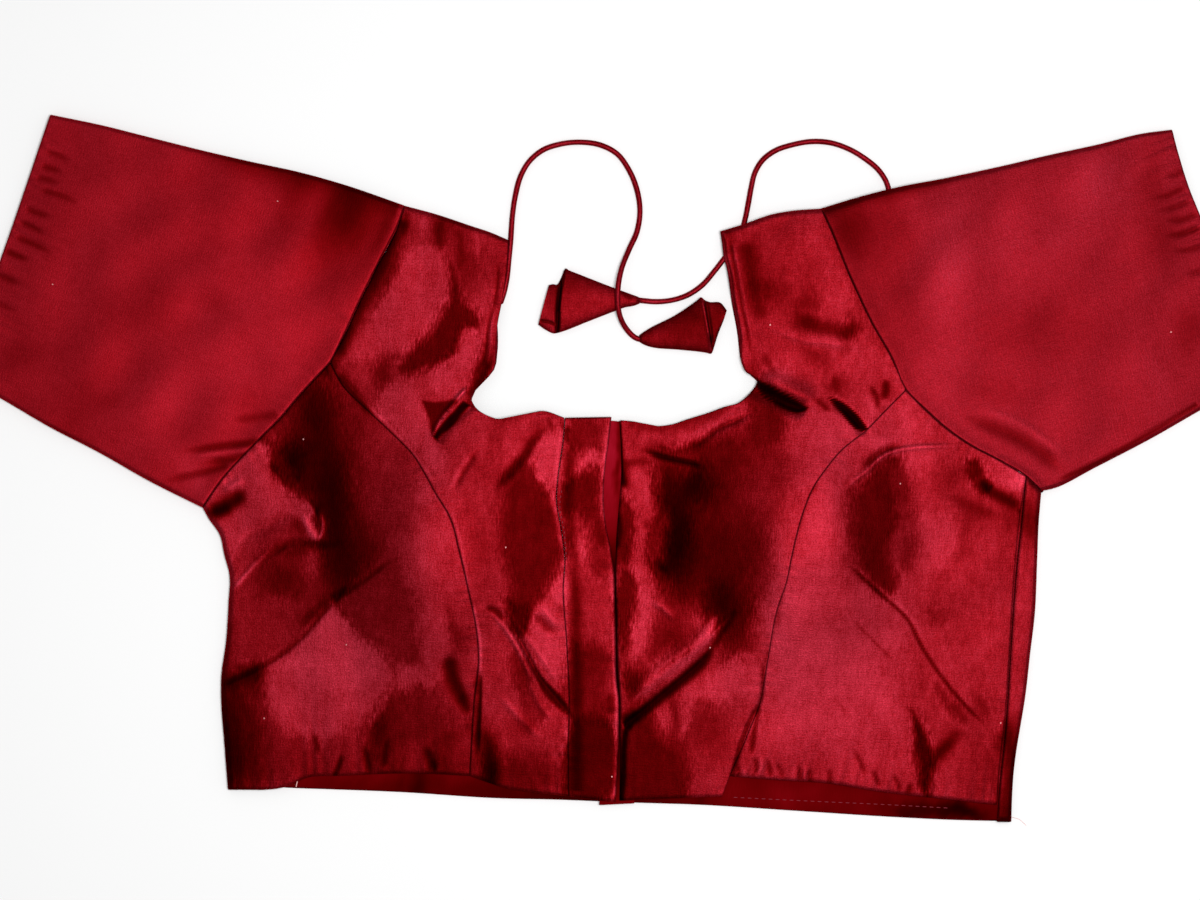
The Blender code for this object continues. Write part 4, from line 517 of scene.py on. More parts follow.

# Areas of painted shade and highlight of the sheen, laid over those in this order: rows of (tone, softness
# of the edge, outline)
FRONT_AREAS = [
    # left side: over the dark fold, below that, between the dart and the hem
    (0.22, 2.0, [(-207, 16.5), (-201.5, 14.5), (-201.5, 6.5), (-199, -2), (-191.5, -10), (-183.5, -16.5),
        (-177, -20.5), (-175, -28), (-172, -37), (-170.5, -42.5), (-174.5, -43.5), (-180, -36.5),
        (-184, -29.5), (-191.5, -27.5), (-200, -29.5), (-209.5, -37), (-218, -44.5), (-227.5, -50),
        (-240, -33.5), (-249, -19), (-228, -1), (-213, 12.5)]),
    (-0.2, 4, [(-225, -56), (-217, -47), (-207.5, -40), (-198, -34.5), (-188, -33.5), (-183, -38),
        (-182, -43.5), (-192, -44.5), (-204, -49.5), (-215, -57.5), (-222, -65.5)]),
    (-0.4, 3, [(-162.5, -80), (-124, -53), (-120.5, -64), (-116, -79), (-113.5, -97), (-107.5, -119.5),
        (-117, -119.5), (-128, -113), (-146, -104), (-153, -92)]),
    (0.3, 5.5, [(-165, -80), (-157, -91), (-148, -103), (-132.5, -109), (-126.5, -119.5), (-129, -134),
        (-138.5, -146), (-152, -155.5), (-168, -160.5), (-186.5, -158), (-198.5, -148.5), (-203.5, -136.5),
        (-201, -122), (-189, -109), (-176, -94.5)]),
    (0.62, 4, [(-165, -81.5), (-156, -91.5), (-144.5, -105.5), (-136, -112.5), (-138.5, -127), (-159, -133),
        (-180.5, -128), (-190, -117.5), (-185, -106), (-174, -93.5)]),
    (-0.3, 4, [(-224, -119.5), (-213, -117.5), (-195, -106.5), (-181, -94.5), (-170.5, -83.5), (-183, -77.5),
        (-206, -82.5), (-219, -88.5), (-225, -103)]),
    (0.2, 4, [(-105, -82.5), (-96.5, -92), (-92, -107.5), (-95.5, -117.5), (-101.5, -123.5), (-107.5, -113.5),
        (-111.5, -103), (-111, -91)]),
    (0.35, 4, [(-125.5, -123.5), (-120.5, -116.5), (-112, -118.5), (-104, -123.5), (-95.5, -119.5),
        (-101.5, -128), (-113.5, -130.5), (-120.5, -133)]),
    # left centre: strap, the notch below it, cup
    (0.2, 4, [(-120.5, 131), (-100, 131), (-95, 113), (-96, 101), (-100, 90.5), (-111, 78.5), (-122, 70),
        (-140, 70), (-156, 64), (-153, 74), (-143.5, 88), (-136, 97.5), (-128, 110), (-123, 124)]),
    (-1.3, 3, [(-92, 124), (-86, 101), (-76, 90.5), (-75.5, 83), (-86, 82), (-88, 73.5), (-99, 65),
        (-114, 56.5), (-122, 59), (-116, 71), (-106, 80), (-98, 90.5), (-93.5, 103.5)]),
    (0.25, 2.5, [(-86, 82), (-78.5, 83), (-74, 74), (-77.5, 60.5), (-84.5, 44.5), (-99, 41), (-106, 47),
        (-104, 56.5), (-95.5, 64), (-88, 71)]),
    (0.35, 3.5, [(-135, 46), (-124, 50.5), (-112, 47), (-107.5, 34), (-100, 16), (-93, 5), (-99, -7),
        (-111, 8), (-124, 23), (-138.5, 36.5)]),
    (-1.15, 7, [(-48.5, 6.5), (-39, -1), (-33.5, -14), (-29.5, -25), (-26.5, -37), (-24.5, -52.5), (-28, -62),
        (-33, -70.5), (-42.5, -81.5), (-54.5, -81.5), (-58, -67), (-61, -46), (-63, -26), (-60.5, -11.5),
        (-56, -2)]),
    (0.4, 3, [(-42.5, 13.5), (-32, 22), (-24, 25.5), (-25, 5), (-27, -7), (-32, -9.5), (-38.5, -8),
        (-42.5, 2.5)]),
    (0.4, 2.0, [(-28, -67), (-23.5, -63.5), (-22, -76), (-27, -81.5), (-32, -77.5)]),
    (-1.8, 4.5, [(-58, -80), (-45, -80), (-41.5, -88.5), (-45, -98), (-52, -100.5), (-58, -92)]),
    (0.3, 3.5, [(-40, -82.5), (-32, -80), (-23.5, -95.5), (-24.5, -116), (-26, -133), (-35.5, -119.5),
        (-42.5, -107.5), (-45, -95.5)]),
    (-0.9, 4.0, [(-56, -111.5), (-48.5, -112.5), (-45, -119.5), (-41.5, -129.5), (-45, -134), (-50, -129.5),
        (-54.5, -122)]),
    (-0.7, 3.0, [(-41.5, -134), (-36.5, -139), (-34, -148.5), (-38, -149.5), (-41.5, -142.5)]),
    # placket
    (-0.8, 5, [(-20.5, 29), (-3, 29), (-2, 13.5), (-18, 10)]),
    (0.35, 4, [(-18.5, 4), (-5.5, 12.5), (-3, 7.5), (-12.5, -1), (-18.5, -4.5)]),
    (-1.15, 5, [(-25, -9.5), (-15, -4.5), (-5.5, 2.5), (-3.5, -19), (-1, -31), (2, -46), (-4, -46),
        (-12, -34), (-18, -27.5), (-24.5, -23.5)]),
    (0.4, 4, [(-19, -39.5), (-15, -40.5), (-10, -46), (-8.5, -53.5), (-14, -61), (-18, -68), (-20.5, -62),
        (-20, -50)]),
    (-0.6, 4.0, [(-8, -46), (0.5, -47.5), (3.5, -61), (-3, -64), (-9, -58.5)]),
    (-0.15, 5, [(-15, -68), (-0.5, -68), (2.5, -91), (0.5, -98), (-14, -97), (-15.5, -79)]),
    (-0.85, 6, [(-20, -103), (-0.5, -107.5), (3, -139), (3.5, -149.5), (-20.5, -151)]),
    (-1.5, 4, [(-20.5, -149.5), (-1, -148.5), (-1, -199), (-20.5, -199)]),
    # right centre: neckline, beside the opening, crest of the long fold, foot
    (0.12, 2.5, [(12, 28), (27, 19.5), (51, 23), (84, 36.5), (86.5, 29), (66, 24.5), (54, 16), (38, 13),
        (21, 13.5), (14, 17)]),
    (-0.2, 3.0, [(11.5, 26), (21, 24.5), (22, 13.5), (15, 7.5), (12, 11)]),
    (-1.2, 4.0, [(7, -17.5), (15, -19), (16, -37), (14, -56), (8, -59.5)]),
    (0.1, 3.2, [(15, -3.5), (20.5, 1), (24, -3.5), (27.5, -17.5), (29, -26.5), (26.5, -29), (22, -21.5),
        (15.5, -19)]),
    (0.0, 4.0, [(19, -25), (24, -27.5), (25, -43), (23.5, -56), (19, -55), (18, -37)]),
    (-1.0, 5.0, [(26.5, -32), (35.5, -28), (38, -43), (35.5, -56), (29.5, -56), (26, -46)]),
    (0.4, 4.5, [(17.5, -58.5), (23.5, -58), (26.5, -70), (28, -79), (27, -94), (21, -110), (15, -115),
        (14, -103), (16, -85)]),
    (-1.2, 3.0, [(8, -62), (13, -62), (13, -103), (11, -112), (8, -103)]),
    (0.4, 2.6, [(27, -129.5), (31, -122), (47.5, -109), (58, -99.5), (65.5, -87.5), (65, -97), (57.5, -107.5),
        (41.5, -121), (25, -135.5), (17.5, -140)]),
    (0.25, 4, [(47.5, -129.5), (53.5, -127), (52, -145), (49, -158), (45.5, -161.5), (46, -146)]),
    (0.05, 4, [(30.5, -143.5), (37, -142.5), (38.5, -155.5), (33, -160.5), (30, -152)]),
    (-1.3, 7, [(11.5, -158), (27, -152), (33, -161.5), (45, -167.5), (48.5, -181), (47.5, -199), (10, -199)]),
    (0.35, 4, [(53, -136.5), (69, -118.5), (87, -113), (94, -117.5), (89.5, -131.5), (78, -137.5),
        (64, -140)]),
    (-1.1, 5, [(88, 37.5), (103, 37.5), (105.5, 24.5), (99.5, 15.5), (89, 14.5)]),
    # right side
    (-1.2, 6, [(148, -14), (155.5, -7.5), (164, 0.5), (171, 4.5), (174.5, 1.5), (172, -8), (173.5, -19),
        (175, -37), (171, -49), (171.5, -61), (173, -69.5), (170, -75.5), (162.5, -73), (154, -63.5),
        (150, -52), (149.5, -31)]),
    (-1.1, 1.6, [(154, -8), (160, -2.5), (166, 4), (173, 7.5), (176.5, 6.5), (173, 1.5), (165, -5.5),
        (158, -10.5)]),
    (-0.45, 5, [(176, -21.5), (183, -22.5), (184, -28.5), (180.5, -35.5), (186.5, -50), (182, -59.5),
        (176, -56), (176, -46)]),
    (0.3, 5, [(188, -28), (207, -28), (213, -40), (204, -56), (191.5, -61), (189, -43)]),
    (-1.6, 3.0, [(216, 4.5), (223, 2.5), (227.5, -7.5), (232, -12.5), (227.5, -15.5), (221.5, -10.5),
        (216.5, -3.5)]),
    (-2.0, 3.2, [(183.5, -143.5), (188.5, -152), (193, -164), (195.5, -172.5), (194.5, -181), (193, -197),
        (188.5, -189.5), (185.5, -167.5)]),
    (-0.8, 4.0, [(198.5, -128), (206, -135.5), (216, -148.5), (218, -153.5), (209.5, -148.5), (202, -140),
        (197.5, -133)]),
]

# Shadows below folds that stand up, with clean edges: rows like those of the areas
FRONT_SHADOWS = [
    (-1.4, 1.0, [(-109, 40.5), (-102.5, 39.5), (-96.5, 40), (-88, 40.5), (-92.5, 36.5), (-98.5, 30.5),
        (-101, 25), (-103, 20.5), (-104.5, 28.5), (-107.5, 36.5)]),
    (-3.6, 0.9, [(-81, 38), (-85, 33.5), (-91, 26), (-99, 19), (-101, 16.5), (-102.5, 18.5), (-99.5, 23),
        (-95, 29), (-89, 35), (-84.5, 40)]),
    (-3.6, 0.8, [(91, 53), (98, 49.5), (105, 45.5), (113, 41), (120.5, 35), (116, 33.5), (110, 34.5),
        (104, 37.5), (98, 41.5), (92, 46.5)]),
    (-4.2, 0.7, [(134, 42.5), (141, 39.5), (147, 35), (152.5, 29), (156, 22.5), (153, 22.5), (148, 26),
        (143, 32), (138, 37.5)]),
    (-1.8, 0.9, [(-42, -119), (-36.5, -126.5), (-29.5, -133), (-23.5, -140), (-20, -147.5), (-26, -144.5),
        (-33, -138.5), (-38.5, -131)]),
]

# Sleeves: creases whose tones are painted shade along folds, seams and cuff puckers, and blobs of painted
# shade and highlight, one of them over the whole sleeve
SLEEVE_LEFT_CREASES = [
    (0, -0.8, 4, 9, 0.3, 0.0, [(-249, 192.5), (-207, 183.5), (-165, 172), (-123, 157.5)]),
    (-0.4, -0.9, 2, 2.4, 0.4, 0.1, [(-256, 10), (-234, 13), (-206, 16.5)]),
    (-0.4, -0.8, 2, 2.2, 0.4, 0.1, [(-243, 2.5), (-226, 5.5), (-210.5, 8)]),
    (-0.4, -0.7, 2, 2.2, 0.4, 0.1, [(-267, -8), (-246, -3.5), (-224, 2.5)]),
    (0, -0.5, 2.5, 2.5, 0.3, 0.0, [(-224, 29), (-209.5, 30.5), (-196, 32.5)]),
    (0.3, 0.3, 2, 2, 0.3, 0.1, [(-249, 7), (-228, 10), (-213, 11.5)]),
    # puckers at the cuff
    (-0.3, -0.5, 1.6, 1.6, 0.2, 0.5, [(-335.5, 190), (-326, 187), (-317.5, 182.5)]),
    (-0.3, -0.6, 1.8, 1.8, 0.2, 0.5, [(-338, 181.5), (-329.5, 179), (-323.5, 176.5)]),
    (-0.3, -0.5, 1.6, 1.6, 0.2, 0.5, [(-341.5, 174.5), (-332, 172.5), (-324.5, 169.5)]),
    (-0.3, -0.6, 1.8, 1.8, 0.2, 0.5, [(-339, 167), (-326, 163.5), (-312.5, 158)]),
    (-0.3, -0.6, 1.6, 1.6, 0.2, 0.5, [(-347.5, 156.5), (-339, 152.5), (-329.5, 150.5)]),
    (-0.3, -0.6, 1.6, 1.6, 0.2, 0.5, [(-351, 148), (-342.5, 144.5), (-333, 139.5)]),
    (-0.3, -0.7, 1.8, 1.8, 0.2, 0.5, [(-354.5, 139.5), (-342.5, 134.5), (-328, 127.5)]),
    (-0.3, -0.8, 1.8, 1.8, 0.2, 0.5, [(-360.5, 131), (-352, 127.5), (-342.5, 123.5)]),
    (-0.3, -0.5, 1.8, 1.8, 0.2, 0.5, [(-365.5, 116.5), (-356, 113), (-347.5, 109.5)]),
    (-0.3, -0.4, 1.8, 1.8, 0.2, 0.5, [(-370, 101), (-360.5, 97.5), (-350, 93.5)]),
]
SLEEVE_LEFT_BLOBS = [
    (-0.22, -255, 89, 180, 180), (-0.25, -147, 131, 24, 24), (-1.2, -152, 152.5, 22.8, 14.4, -60),
    (-0.2, -165, 137, 36, 12, -60), (-0.5, -183, 170, 24, 8.4, -70), (-0.5, -132, 142, 4.8, 13.2, 20),
    (0.14, -192, 101, 36, 36), (0.1, -234, 101, 30, 36), (0.35, -246, -7, 18, 8.4, 60),
    (0.05, -225, 23, 24, 12), (-0.15, -273, 96.5, 20.4, 10.8, -20), (-0.15, -213, 43.5, 10.8, 9.6),
    (-0.2, -348, 67.5, 13.2, 8.4, -20), (-0.1, -327, 155, 18, 36, 15), (0.18, -219, 53, 54, 26.4),
    (0.14, -309, 137, 54, 66), (0.15, -273, 29, 36, 18, -60), (-0.15, -297, 41, 8.4, 6),
    (-0.2, -327, 17, 36, 8.4, -60), (-0.15, -234, 101, 8.4, 6),
]
SLEEVE_RIGHT_CREASES = [
    (0, -0.5, 9, 4, 0.0, 0.4, [(130, 156.5), (177, 166), (225, 178)]),
    (-0.5, -0.6, 3.5, 4.5, 0.3, 0.2, [(212, 32.5), (237, 23), (261, 10), (274, -3.5)]),
    (0.3, 0.15, 3, 3, 0.3, 0.2, [(220, 37.5), (249, 26.5), (279, 4)]),
    (-0.3, -0.9, 1.2, 1.2, 0.1, 0.0, [(269.5, -8), (297, 5), (327, 22), (354.5, 38.5)]),
    # puckers at the cuff
    (-0.3, -0.4, 1.6, 1.6, 0.5, 0.2, [(334, 174.5), (341.5, 176), (347.5, 179.5)]),
    (-0.3, -0.6, 1.8, 1.8, 0.5, 0.2, [(324.5, 161.5), (336.5, 163.5), (348.5, 169.5)]),
    (-0.3, -0.4, 1.6, 1.6, 0.5, 0.2, [(327, 154), (341.5, 156.5), (352, 161)]),
    (-0.3, -0.6, 1.8, 1.8, 0.5, 0.2, [(333, 148.5), (345, 149), (356, 153.5)]),
    (-0.3, -0.7, 1.8, 1.8, 0.5, 0.2, [(332, 139), (345, 140.5), (358, 145)]),
    (-0.3, -0.5, 1.6, 1.6, 0.5, 0.2, [(338, 130), (348.5, 131), (360.5, 134)]),
    (-0.3, -0.4, 1.6, 1.6, 0.5, 0.2, [(345, 116), (354.5, 118), (364, 121.5)]),
]
SLEEVE_RIGHT_BLOBS = [
    (-0.9, 146, 144.5, 14.4, 20.4, -30), (-0.25, 158, 95, 13.2, 42, -28), (-0.1, 237, 113, 180, 180),
    (-0.3, 171, 149, 30, 10.8, 70), (0.25, 206, 119, 15.6, 48, 5), (0.25, 294, 170, 18, 24, 20),
    (0.15, 243, 131, 14.4, 30), (-0.2, 177, 101, 8.4, 30, -25), (-0.2, 261, 83, 36, 18),
    (0.1, 201, 53, 15.6, 18), (-0.35, 350, 83, 9.6, 14.4), (-0.25, 333, 137, 12, 18),
    (0.12, 327, 53, 24, 9.6, 60), (-0.15, 237, 47, 24, 8.4), (0.12, 273, 137, 18, 15.6),
    (-0.25, 327, 173, 6, 15.6),
]
# Cones: painted shade along each flap's step and over the cones, and painted highlights on the right cone
LATKAN_LEFT_CREASES = [
    (-1.2, -2.2, 0.8, 1.6, 0.0, 0.0, [(-24, 120.5), (-26, 111.5), (-27.5, 99.5), (-28, 80.5)]),
    (-0.5, -1.0, 0.8, 0.8, 0.1, 0.1, [(-39, 88.5), (-34, 88), (-29.5, 86)]),
    (0, -0.5, 1.2, 1.2, 0.0, 0.2, [(9, 107), (12.5, 103), (17.5, 101)]),
]
LATKAN_LEFT_BLOBS = [(-0.35, -9, 101, 54, 36), (-0.5, -21, 111.5, 9.6, 8.4), (-0.3, -32, 107, 4.8, 8.4)]
LATKAN_RIGHT_CREASES = [
    (0.4, 0.9, 0.7, 0.7, 0.0, 0.0, [(58, 102.5), (60, 92), (62, 80), (63.5, 70)]),
    (-0.6, -0.2, 1.0, 0.6, 0.0, 0.0, [(60.5, 101), (62, 90.5), (63.5, 80), (65, 70)]),
]
LATKAN_RIGHT_BLOBS = [
    (-0.8, 45, 83, 54, 36), (-0.3, 51, 94, 12, 6, 60), (-0.35, 69.5, 90.5, 4.8, 14.4),
    (-1.6, 64, 75.5, 1.8, 2.4), (0.3, 30, 77, 9.6, 4.8, 90),
]
# Back: painted shade along its fold round the right side and at its lower right corner
BACK_BLOBS = [
    (-1.6, 243, -181, 6, 24), (-1.2, 253, -31, 7.2, 12), (-1, 240.5, -160, 4.8, 9.6),
    (-1.5, 239.5, -206, 6, 8.4),
]
# Facing: painted shade under the front's hem over all of it, deepest towards its right end, with one lighter
# patch
FACING_BLOBS = [
    (-1.15, -3, -199, 540, 36), (-0.7, -27, -197, 42, 7.2), (-0.3, -123, -191.5, 72, 6),
    (-1.3, 186, -205, 14.4, 5.4), (-2.4, 214, -206, 4.8, 14.4, -84), (-0.3, 57, -200.5, 120, 3.6, -87),
    (-0.9, -111, -191.5, 102, 6, -87), (-0.3, -123, -185.5, 66, 3, -88), (0.3, 117, -196, 48, 7.2),
    (-0.6, 3, -200, 36, 6),
]
# Strip under the opening: painted shadow where it shows between the fronts
UNDERLAP_BLOBS = [(-3.5, 5.5, -127, 24, 66), (-2.5, 5.5, -73, 24, 18), (-1.2, 8.5, 17, 1.8, 36)]

# Edges of the front's pieces: rows of (edge, roll radius, roll drop, pucker height, pitch, reach)
FRONT_EDGES = {
    "front_left_centre": [
        ("left", 1.0, 0.5, 0.12, 7, 5), ("right", 0.8, 0.3, 0.2, 6, 7), ("low", 2.0, 1.5, 0.2, 9, 14),
        ("high", 3.0, 2.6, 0, 8, 8),
    ],
    "front_right_centre": [
        ("left", 1.2, 0.9, 0.15, 7, 6), ("right", 0.8, 0.3, 0.12, 6, 5), ("low", 2.0, 1.5, 0.2, 9, 14),
        ("high", 3.0, 2.6, 0, 8, 8),
    ],
    "placket_overlap": [
        ("left", 0.6, 0.25, 0.12, 8, 5), ("right", 1.6, 0.9, 0.2, 11, 6), ("low", 2.0, 1.5, 0.1, 9, 8),
        ("high", 1.2, 0.9, 0, 8, 8),
    ],
    "front_left_side": [
        ("left", 4.0, 3.0, 0.15, 9, 5), ("right", 1.0, 0.4, 0.15, 7, 6), ("low", 2.0, 1.5, 0.3, 9, 16),
        ("high", 1.0, 0.6, 0.15, 8, 6),
    ],
    "front_right_side": [
        ("left", 0.8, 0.3, 0.12, 6, 5), ("right", 1.0, 0.5, 0.12, 8, 5), ("low", 2.0, 1.5, 0.35, 7, 12),
        ("high", 1.0, 0.6, 0.15, 8, 6),
    ],
}

# Stitches: rows of (length of one, gap, places), of which make_stitches lays the last of each list
FRONT_STITCHES = [
    (1.5, 1.6, [(-64, 133.5), (-66, 116), (-68.5, 101), (-70, 83), (-72.5, 70)]),
    (1.5, 1.6, [(-61, 130), (-62.5, 116), (-65, 101), (-66.5, 83), (-69, 71)]),
    (1.5, 1.6, [(75, 139.5), (79, 119), (83.5, 98), (87, 77), (90.5, 60.5)]),
    (1.5, 1.6, [(21, 19.5), (36, 16.5), (51, 21.5), (69, 29.5), (86, 36.5)]),
    (1.5, 1.6, [(-26, -13), (-27, -22), (-24.5, -37), (-23, -55)]),
]
FACING_STITCHES = [(2.4, 1.8, [(77, -197), (117, -199), (171, -201.5), (207, -203.5)])]
LINT = [
    (1.6, 9, [(-93.5, -25.5), (-92.5, -29)]), (1.2, 9, [(-6.5, -89.5), (-5.5, -92)]),
    (1.2, 9, [(209, -202), (211, -203)]), (1.2, 9, [(179.5, -122.5), (180.5, -124.5)]),
    (1.2, 9, [(185.5, -130.5), (187, -131.5)]), (1.2, 9, [(207, -127.5), (209, -128.5)]),
    (1.2, 9, [(-93.5, 124), (-92, 122.5)]), (1.2, 9, [(-212, -180.5), (-211, -182.5)]),
    (1.2, 9, [(-112, -177.5), (-111, -179)]), (1.2, 9, [(-35, -22), (-33.5, -23.5)]),
    (3.6, 9, [(-184, -187), (-185, -191.5)]),
]
LOOSE_THREAD = [(1.0, 0.0, [(240.5, -206), (244, -209), (248.5, -210.5), (253, -214.5)])]


def line(rows):
    """A smooth line through rows of (place, x, y, ...), as a function of the place.

    Between two rows it is the cubic with the rows' points and with slopes from their neighbours.
    """
    table = np.array(rows, float)
    place, points = table[:, 0], table[:, 1:]
    slope = np.gradient(points, place, axis=0)

    def at(where):
        where = np.asarray(where, float)
        k = np.clip(np.searchsorted(place, where, side="right") - 1, 0, len(place) - 2)
        step = (place[k + 1] - place[k])[..., None]
        t = (where - place[k])[..., None] / step
        start = (2 * t**3 - 3 * t**2 + 1) * points[k] + (t**3 - 2 * t**2 + t) * step * slope[k]
        end = (3 * t**2 - 2 * t**3) * points[k + 1] + (t**3 - t**2) * step * slope[k + 1]
        return start + end

    return at


def joined(*lines_and_ends):
    """One line from pairs of (line, its last place): each serves the places up to its last."""

    def at(where):
        where = np.asarray(where, float)
        points = lines_and_ends[0][0](where)
        for (_, last), (follower, _) in zip(lines_and_ends, lines_and_ends[1:]):
            points = np.where((where > last)[..., None], follower(where), points)
        return points

    return at


def bulge(edge, across):
    """How far an edge bows from its own chord: edge(u) - (1 - u) edge(0) - u edge(1)."""
    first, last = edge(0.0), edge(1.0)
    u = across[..., None]
    return edge(across) - (1 - u) * first - u * last


def patch(left, right, low, high, places, across):
    """Points (rows, columns, 2) of a panel between its edges.

    sides(v, u) = (1 - u) left(v) + u right(v), and the hem's and the head's own bows are added to it,
    each fading towards the other: + (1 - v) bulge(low, u) + v bulge(high, u).
    """
    part = (places - places[0]) / (places[-1] - places[0])
    v, u = part[:, None, None], across[None, :, None]
    sides = (1 - u) * left(places)[:, None] + u * right(places)[:, None]
    return sides + (1 - v) * bulge(low, across) + v * bulge(high, across)


def spaced(size, step, roll):
    """Places from 0 to 1 over a size in mm: a step apart, and closer within the rolled edge at both ends."""
    close = roll * np.array([0, 0.1, 0.3, 0.6]) / size
    count = max(2, round((size - 2 * roll) / step))
    inner = np.linspace(roll / size, 1 - roll / size, count + 1)
    return np.concatenate([close, inner, 1 - close[::-1]])


def unit(vectors):
    """Vectors made one long, along the last axis."""
    return vectors / np.linalg.norm(vectors, axis=-1, keepdims=True)


def passed_along(route):
    """Length of a broken line from its start to each of its points."""
    return np.concatenate([[0], np.cumsum(np.linalg.norm(np.diff(route, axis=0), axis=1))])


def inset(points, gap):
    """Moves the outline of a patch inwards by the gap, square to each edge."""
    moved = points.copy()
    rows = [(moved[0], points[1]), (moved[-1], points[-2])]
    columns = [(moved[:, 0], points[:, 1]), (moved[:, -1], points[:, -2])]
    for edge, inner in rows + columns:
        along = np.gradient(edge, axis=0)
        square = unit(np.stack([-along[:, 1], along[:, 0]], axis=1))
        inward = np.sign(np.sum((inner - edge) * square, axis=1))[:, None]
        edge += gap * inward * square
    return moved


def smooth_step(value):
    """3 t^2 - 2 t^3 of the value held between 0 and 1."""
    value = np.clip(value, 0, 1)
    return value * value * (3 - 2 * value)


def to_route(x, y, route):
    """Distance from points to a broken line, positive on its left, and the part of its length by there."""
    route = np.array(route, float)
    start, run = route[:-1], np.diff(route, axis=0)
    size = np.linalg.norm(run, axis=1)
    offset = np.stack([x, y], axis=-1)[..., None, :] - start
    t = np.clip(np.sum(offset * run, axis=-1) / size**2, 0, 1)
    away = offset - t[..., None] * run
    distance = np.linalg.norm(away, axis=-1)
    nearest = np.argmin(distance, axis=-1)[..., None]
    side = run[:, 0] * offset[..., 1] - run[:, 1] * offset[..., 0]
    side = np.take_along_axis(side, nearest, axis=-1)[..., 0]
    before = np.concatenate([[0], np.cumsum(size)[:-1]])
    passed = np.take_along_axis(before + t * size, nearest, axis=-1)[..., 0] / size.sum()
    return np.sign(side) * np.take_along_axis(distance, nearest, axis=-1)[..., 0], passed


def rounded(route, step=4.0):
    """The smooth line through a route's points, a step apart."""
    route = np.array(route, float)
    if len(route) < 3:
        return route
    passed = passed_along(route)
    count = max(3, round(passed[-1] / step) + 1)
    return line(np.column_stack([passed, route]))(np.linspace(0, passed[-1], count))


def bell(x, y, left, right, fade_in, fade_out, route):
    """exp(-(distance / reach)^2) about a route, with its own reach on each side, dying away at its ends.

    Each fade is the share of the length over which the size and the reach taper off at that end.
    """
    route = rounded(route)
    reach_most = 2.6 * max(left, right)
    low, high = route.min(axis=0) - reach_most, route.max(axis=0) + reach_most
    near = (x > low[0]) & (x < high[0]) & (y > low[1]) & (y < high[1])
    size = np.zeros_like(x)
    if near.any():
        distance, passed = to_route(x[near], y[near], route)
        taper = smooth_step(passed / max(fade_in, 1e-3)) * smooth_step((1 - passed) / max(fade_out, 1e-3))
        reach = np.where(distance > 0, left, right) * (0.35 + 0.65 * np.sqrt(taper))
        size[near] = taper * np.exp(-((distance / reach) ** 2))
    return size


def blob(x, y, middle_x, middle_y, across, along, turn=0):
    """exp(-r^2) in an ellipse whose second half axis is turned by that many degrees clockwise from +Y."""
    angle = math.radians(turn)
    offset_x, offset_y = x - middle_x, y - middle_y
    side = offset_x * math.cos(angle) - offset_y * math.sin(angle)
    ahead = offset_x * math.sin(angle) + offset_y * math.cos(angle)
    return np.exp(-((side / across) ** 2) - (ahead / along) ** 2)


def area(x, y, softness, outline):
    """1 inside an outline and 0 outside, going over smoothly within the softness on both sides."""
    closed = rounded([*outline, outline[0]])
    low, high = closed.min(axis=0) - softness, closed.max(axis=0) + softness
    near = (x > low[0]) & (x < high[0]) & (y > low[1]) & (y < high[1])
    size = np.zeros_like(x)
    if near.any():
        px, py = x[near], y[near]
        distance, _ = to_route(px, py, closed)
        inside = np.zeros(px.shape, bool)
        for (x0, y0), (x1, y1) in zip(closed[:-1], closed[1:]):
            crosses = (y0 > py) != (y1 > py)
            inside ^= crosses & (px < x0 + (x1 - x0) * (py - y0) / np.where(crosses, y1 - y0, 1))
        signed = np.where(inside, 1, -1) * np.abs(distance)
        size[near] = smooth_step(0.5 + 0.5 * signed / softness)
    return size


def wandered(x, y):
    """Moves places a little, more along the warp than across it, which makes the edges of the painted sheen
    uneven.

    Each row of WANDERS, (size, pitch across, pitch along, start), adds a sine of one coordinate whose phase
    swings with the other one.
    """
    across, along = np.zeros_like(x), np.zeros_like(x)
    for size, pitch_x, pitch_y, start in WANDERS:
        phase_x, phase_y = math.tau * x / pitch_x + start, math.tau * y / pitch_y + 2 * start
        across += size * np.sin(phase_y + 1.7 * np.sin(phase_x))
        along += 1.3 * size * np.sin(phase_x + 1.7 * np.sin(phase_y))
    return x + across, y + along


def painted_shading_of(x, y, creases, areas, blobs, shadows=()):
    """Painted shading: the painted shade and highlight of the sheen, the power of e that its brightness is.

    It is the sum of the blobs, then each area's own tone where it covers, then the creases' tones added, and
    last the painted shadows, whose edges are clean.
    """
    total = np.zeros_like(x)
    place_x, place_y = wandered(x, y)
    for tone, *shape in blobs:
        total += tone * blob(place_x, place_y, *shape)
    for tone, softness, outline in areas:
        total += (tone - total) * area(place_x, place_y, softness, outline)
    for _, tone, *shape in creases:
        if tone:
            total += tone * bell(x, y, *shape)
    for tone, softness, outline in shadows:
        total += (tone - total) * area(x, y, softness, outline)
    return np.clip(total, PAINTED_SHADING_LEAST, PAINTED_SHADING_MOST)


def arch(x, y, reach=CORD_ARCH_REACH):
    """Rise of every layer over the hidden stretches of the right cord, dying away within the reach."""
    rise = np.zeros_like(x)
    for run in HIDDEN_RUNS:
        distance, _ = to_route(x, y, run)
        span = reach - CORD_ARCH_FLAT
        rise = np.maximum(rise, CORD_ARCH * (1 - smooth_step((np.abs(distance) - CORD_ARCH_FLAT) / span)))
    return rise


def undulation(x, y, height, wavelength, seed):
    """Slight unevenness of laid cloth: the sum of plane waves of like length in random directions."""
    chance = np.random.default_rng(seed)
    waves = 9
    turn = chance.uniform(0, math.tau, waves)
    size = math.tau / (wavelength * chance.uniform(0.7, 1.6, waves))
    start = chance.uniform(0, math.tau, waves)
    total = np.zeros_like(x)
    for k in range(waves):
        total += np.sin(size[k] * (x * math.cos(turn[k]) + y * math.sin(turn[k])) + start[k])
    return height * total / math.sqrt(waves)


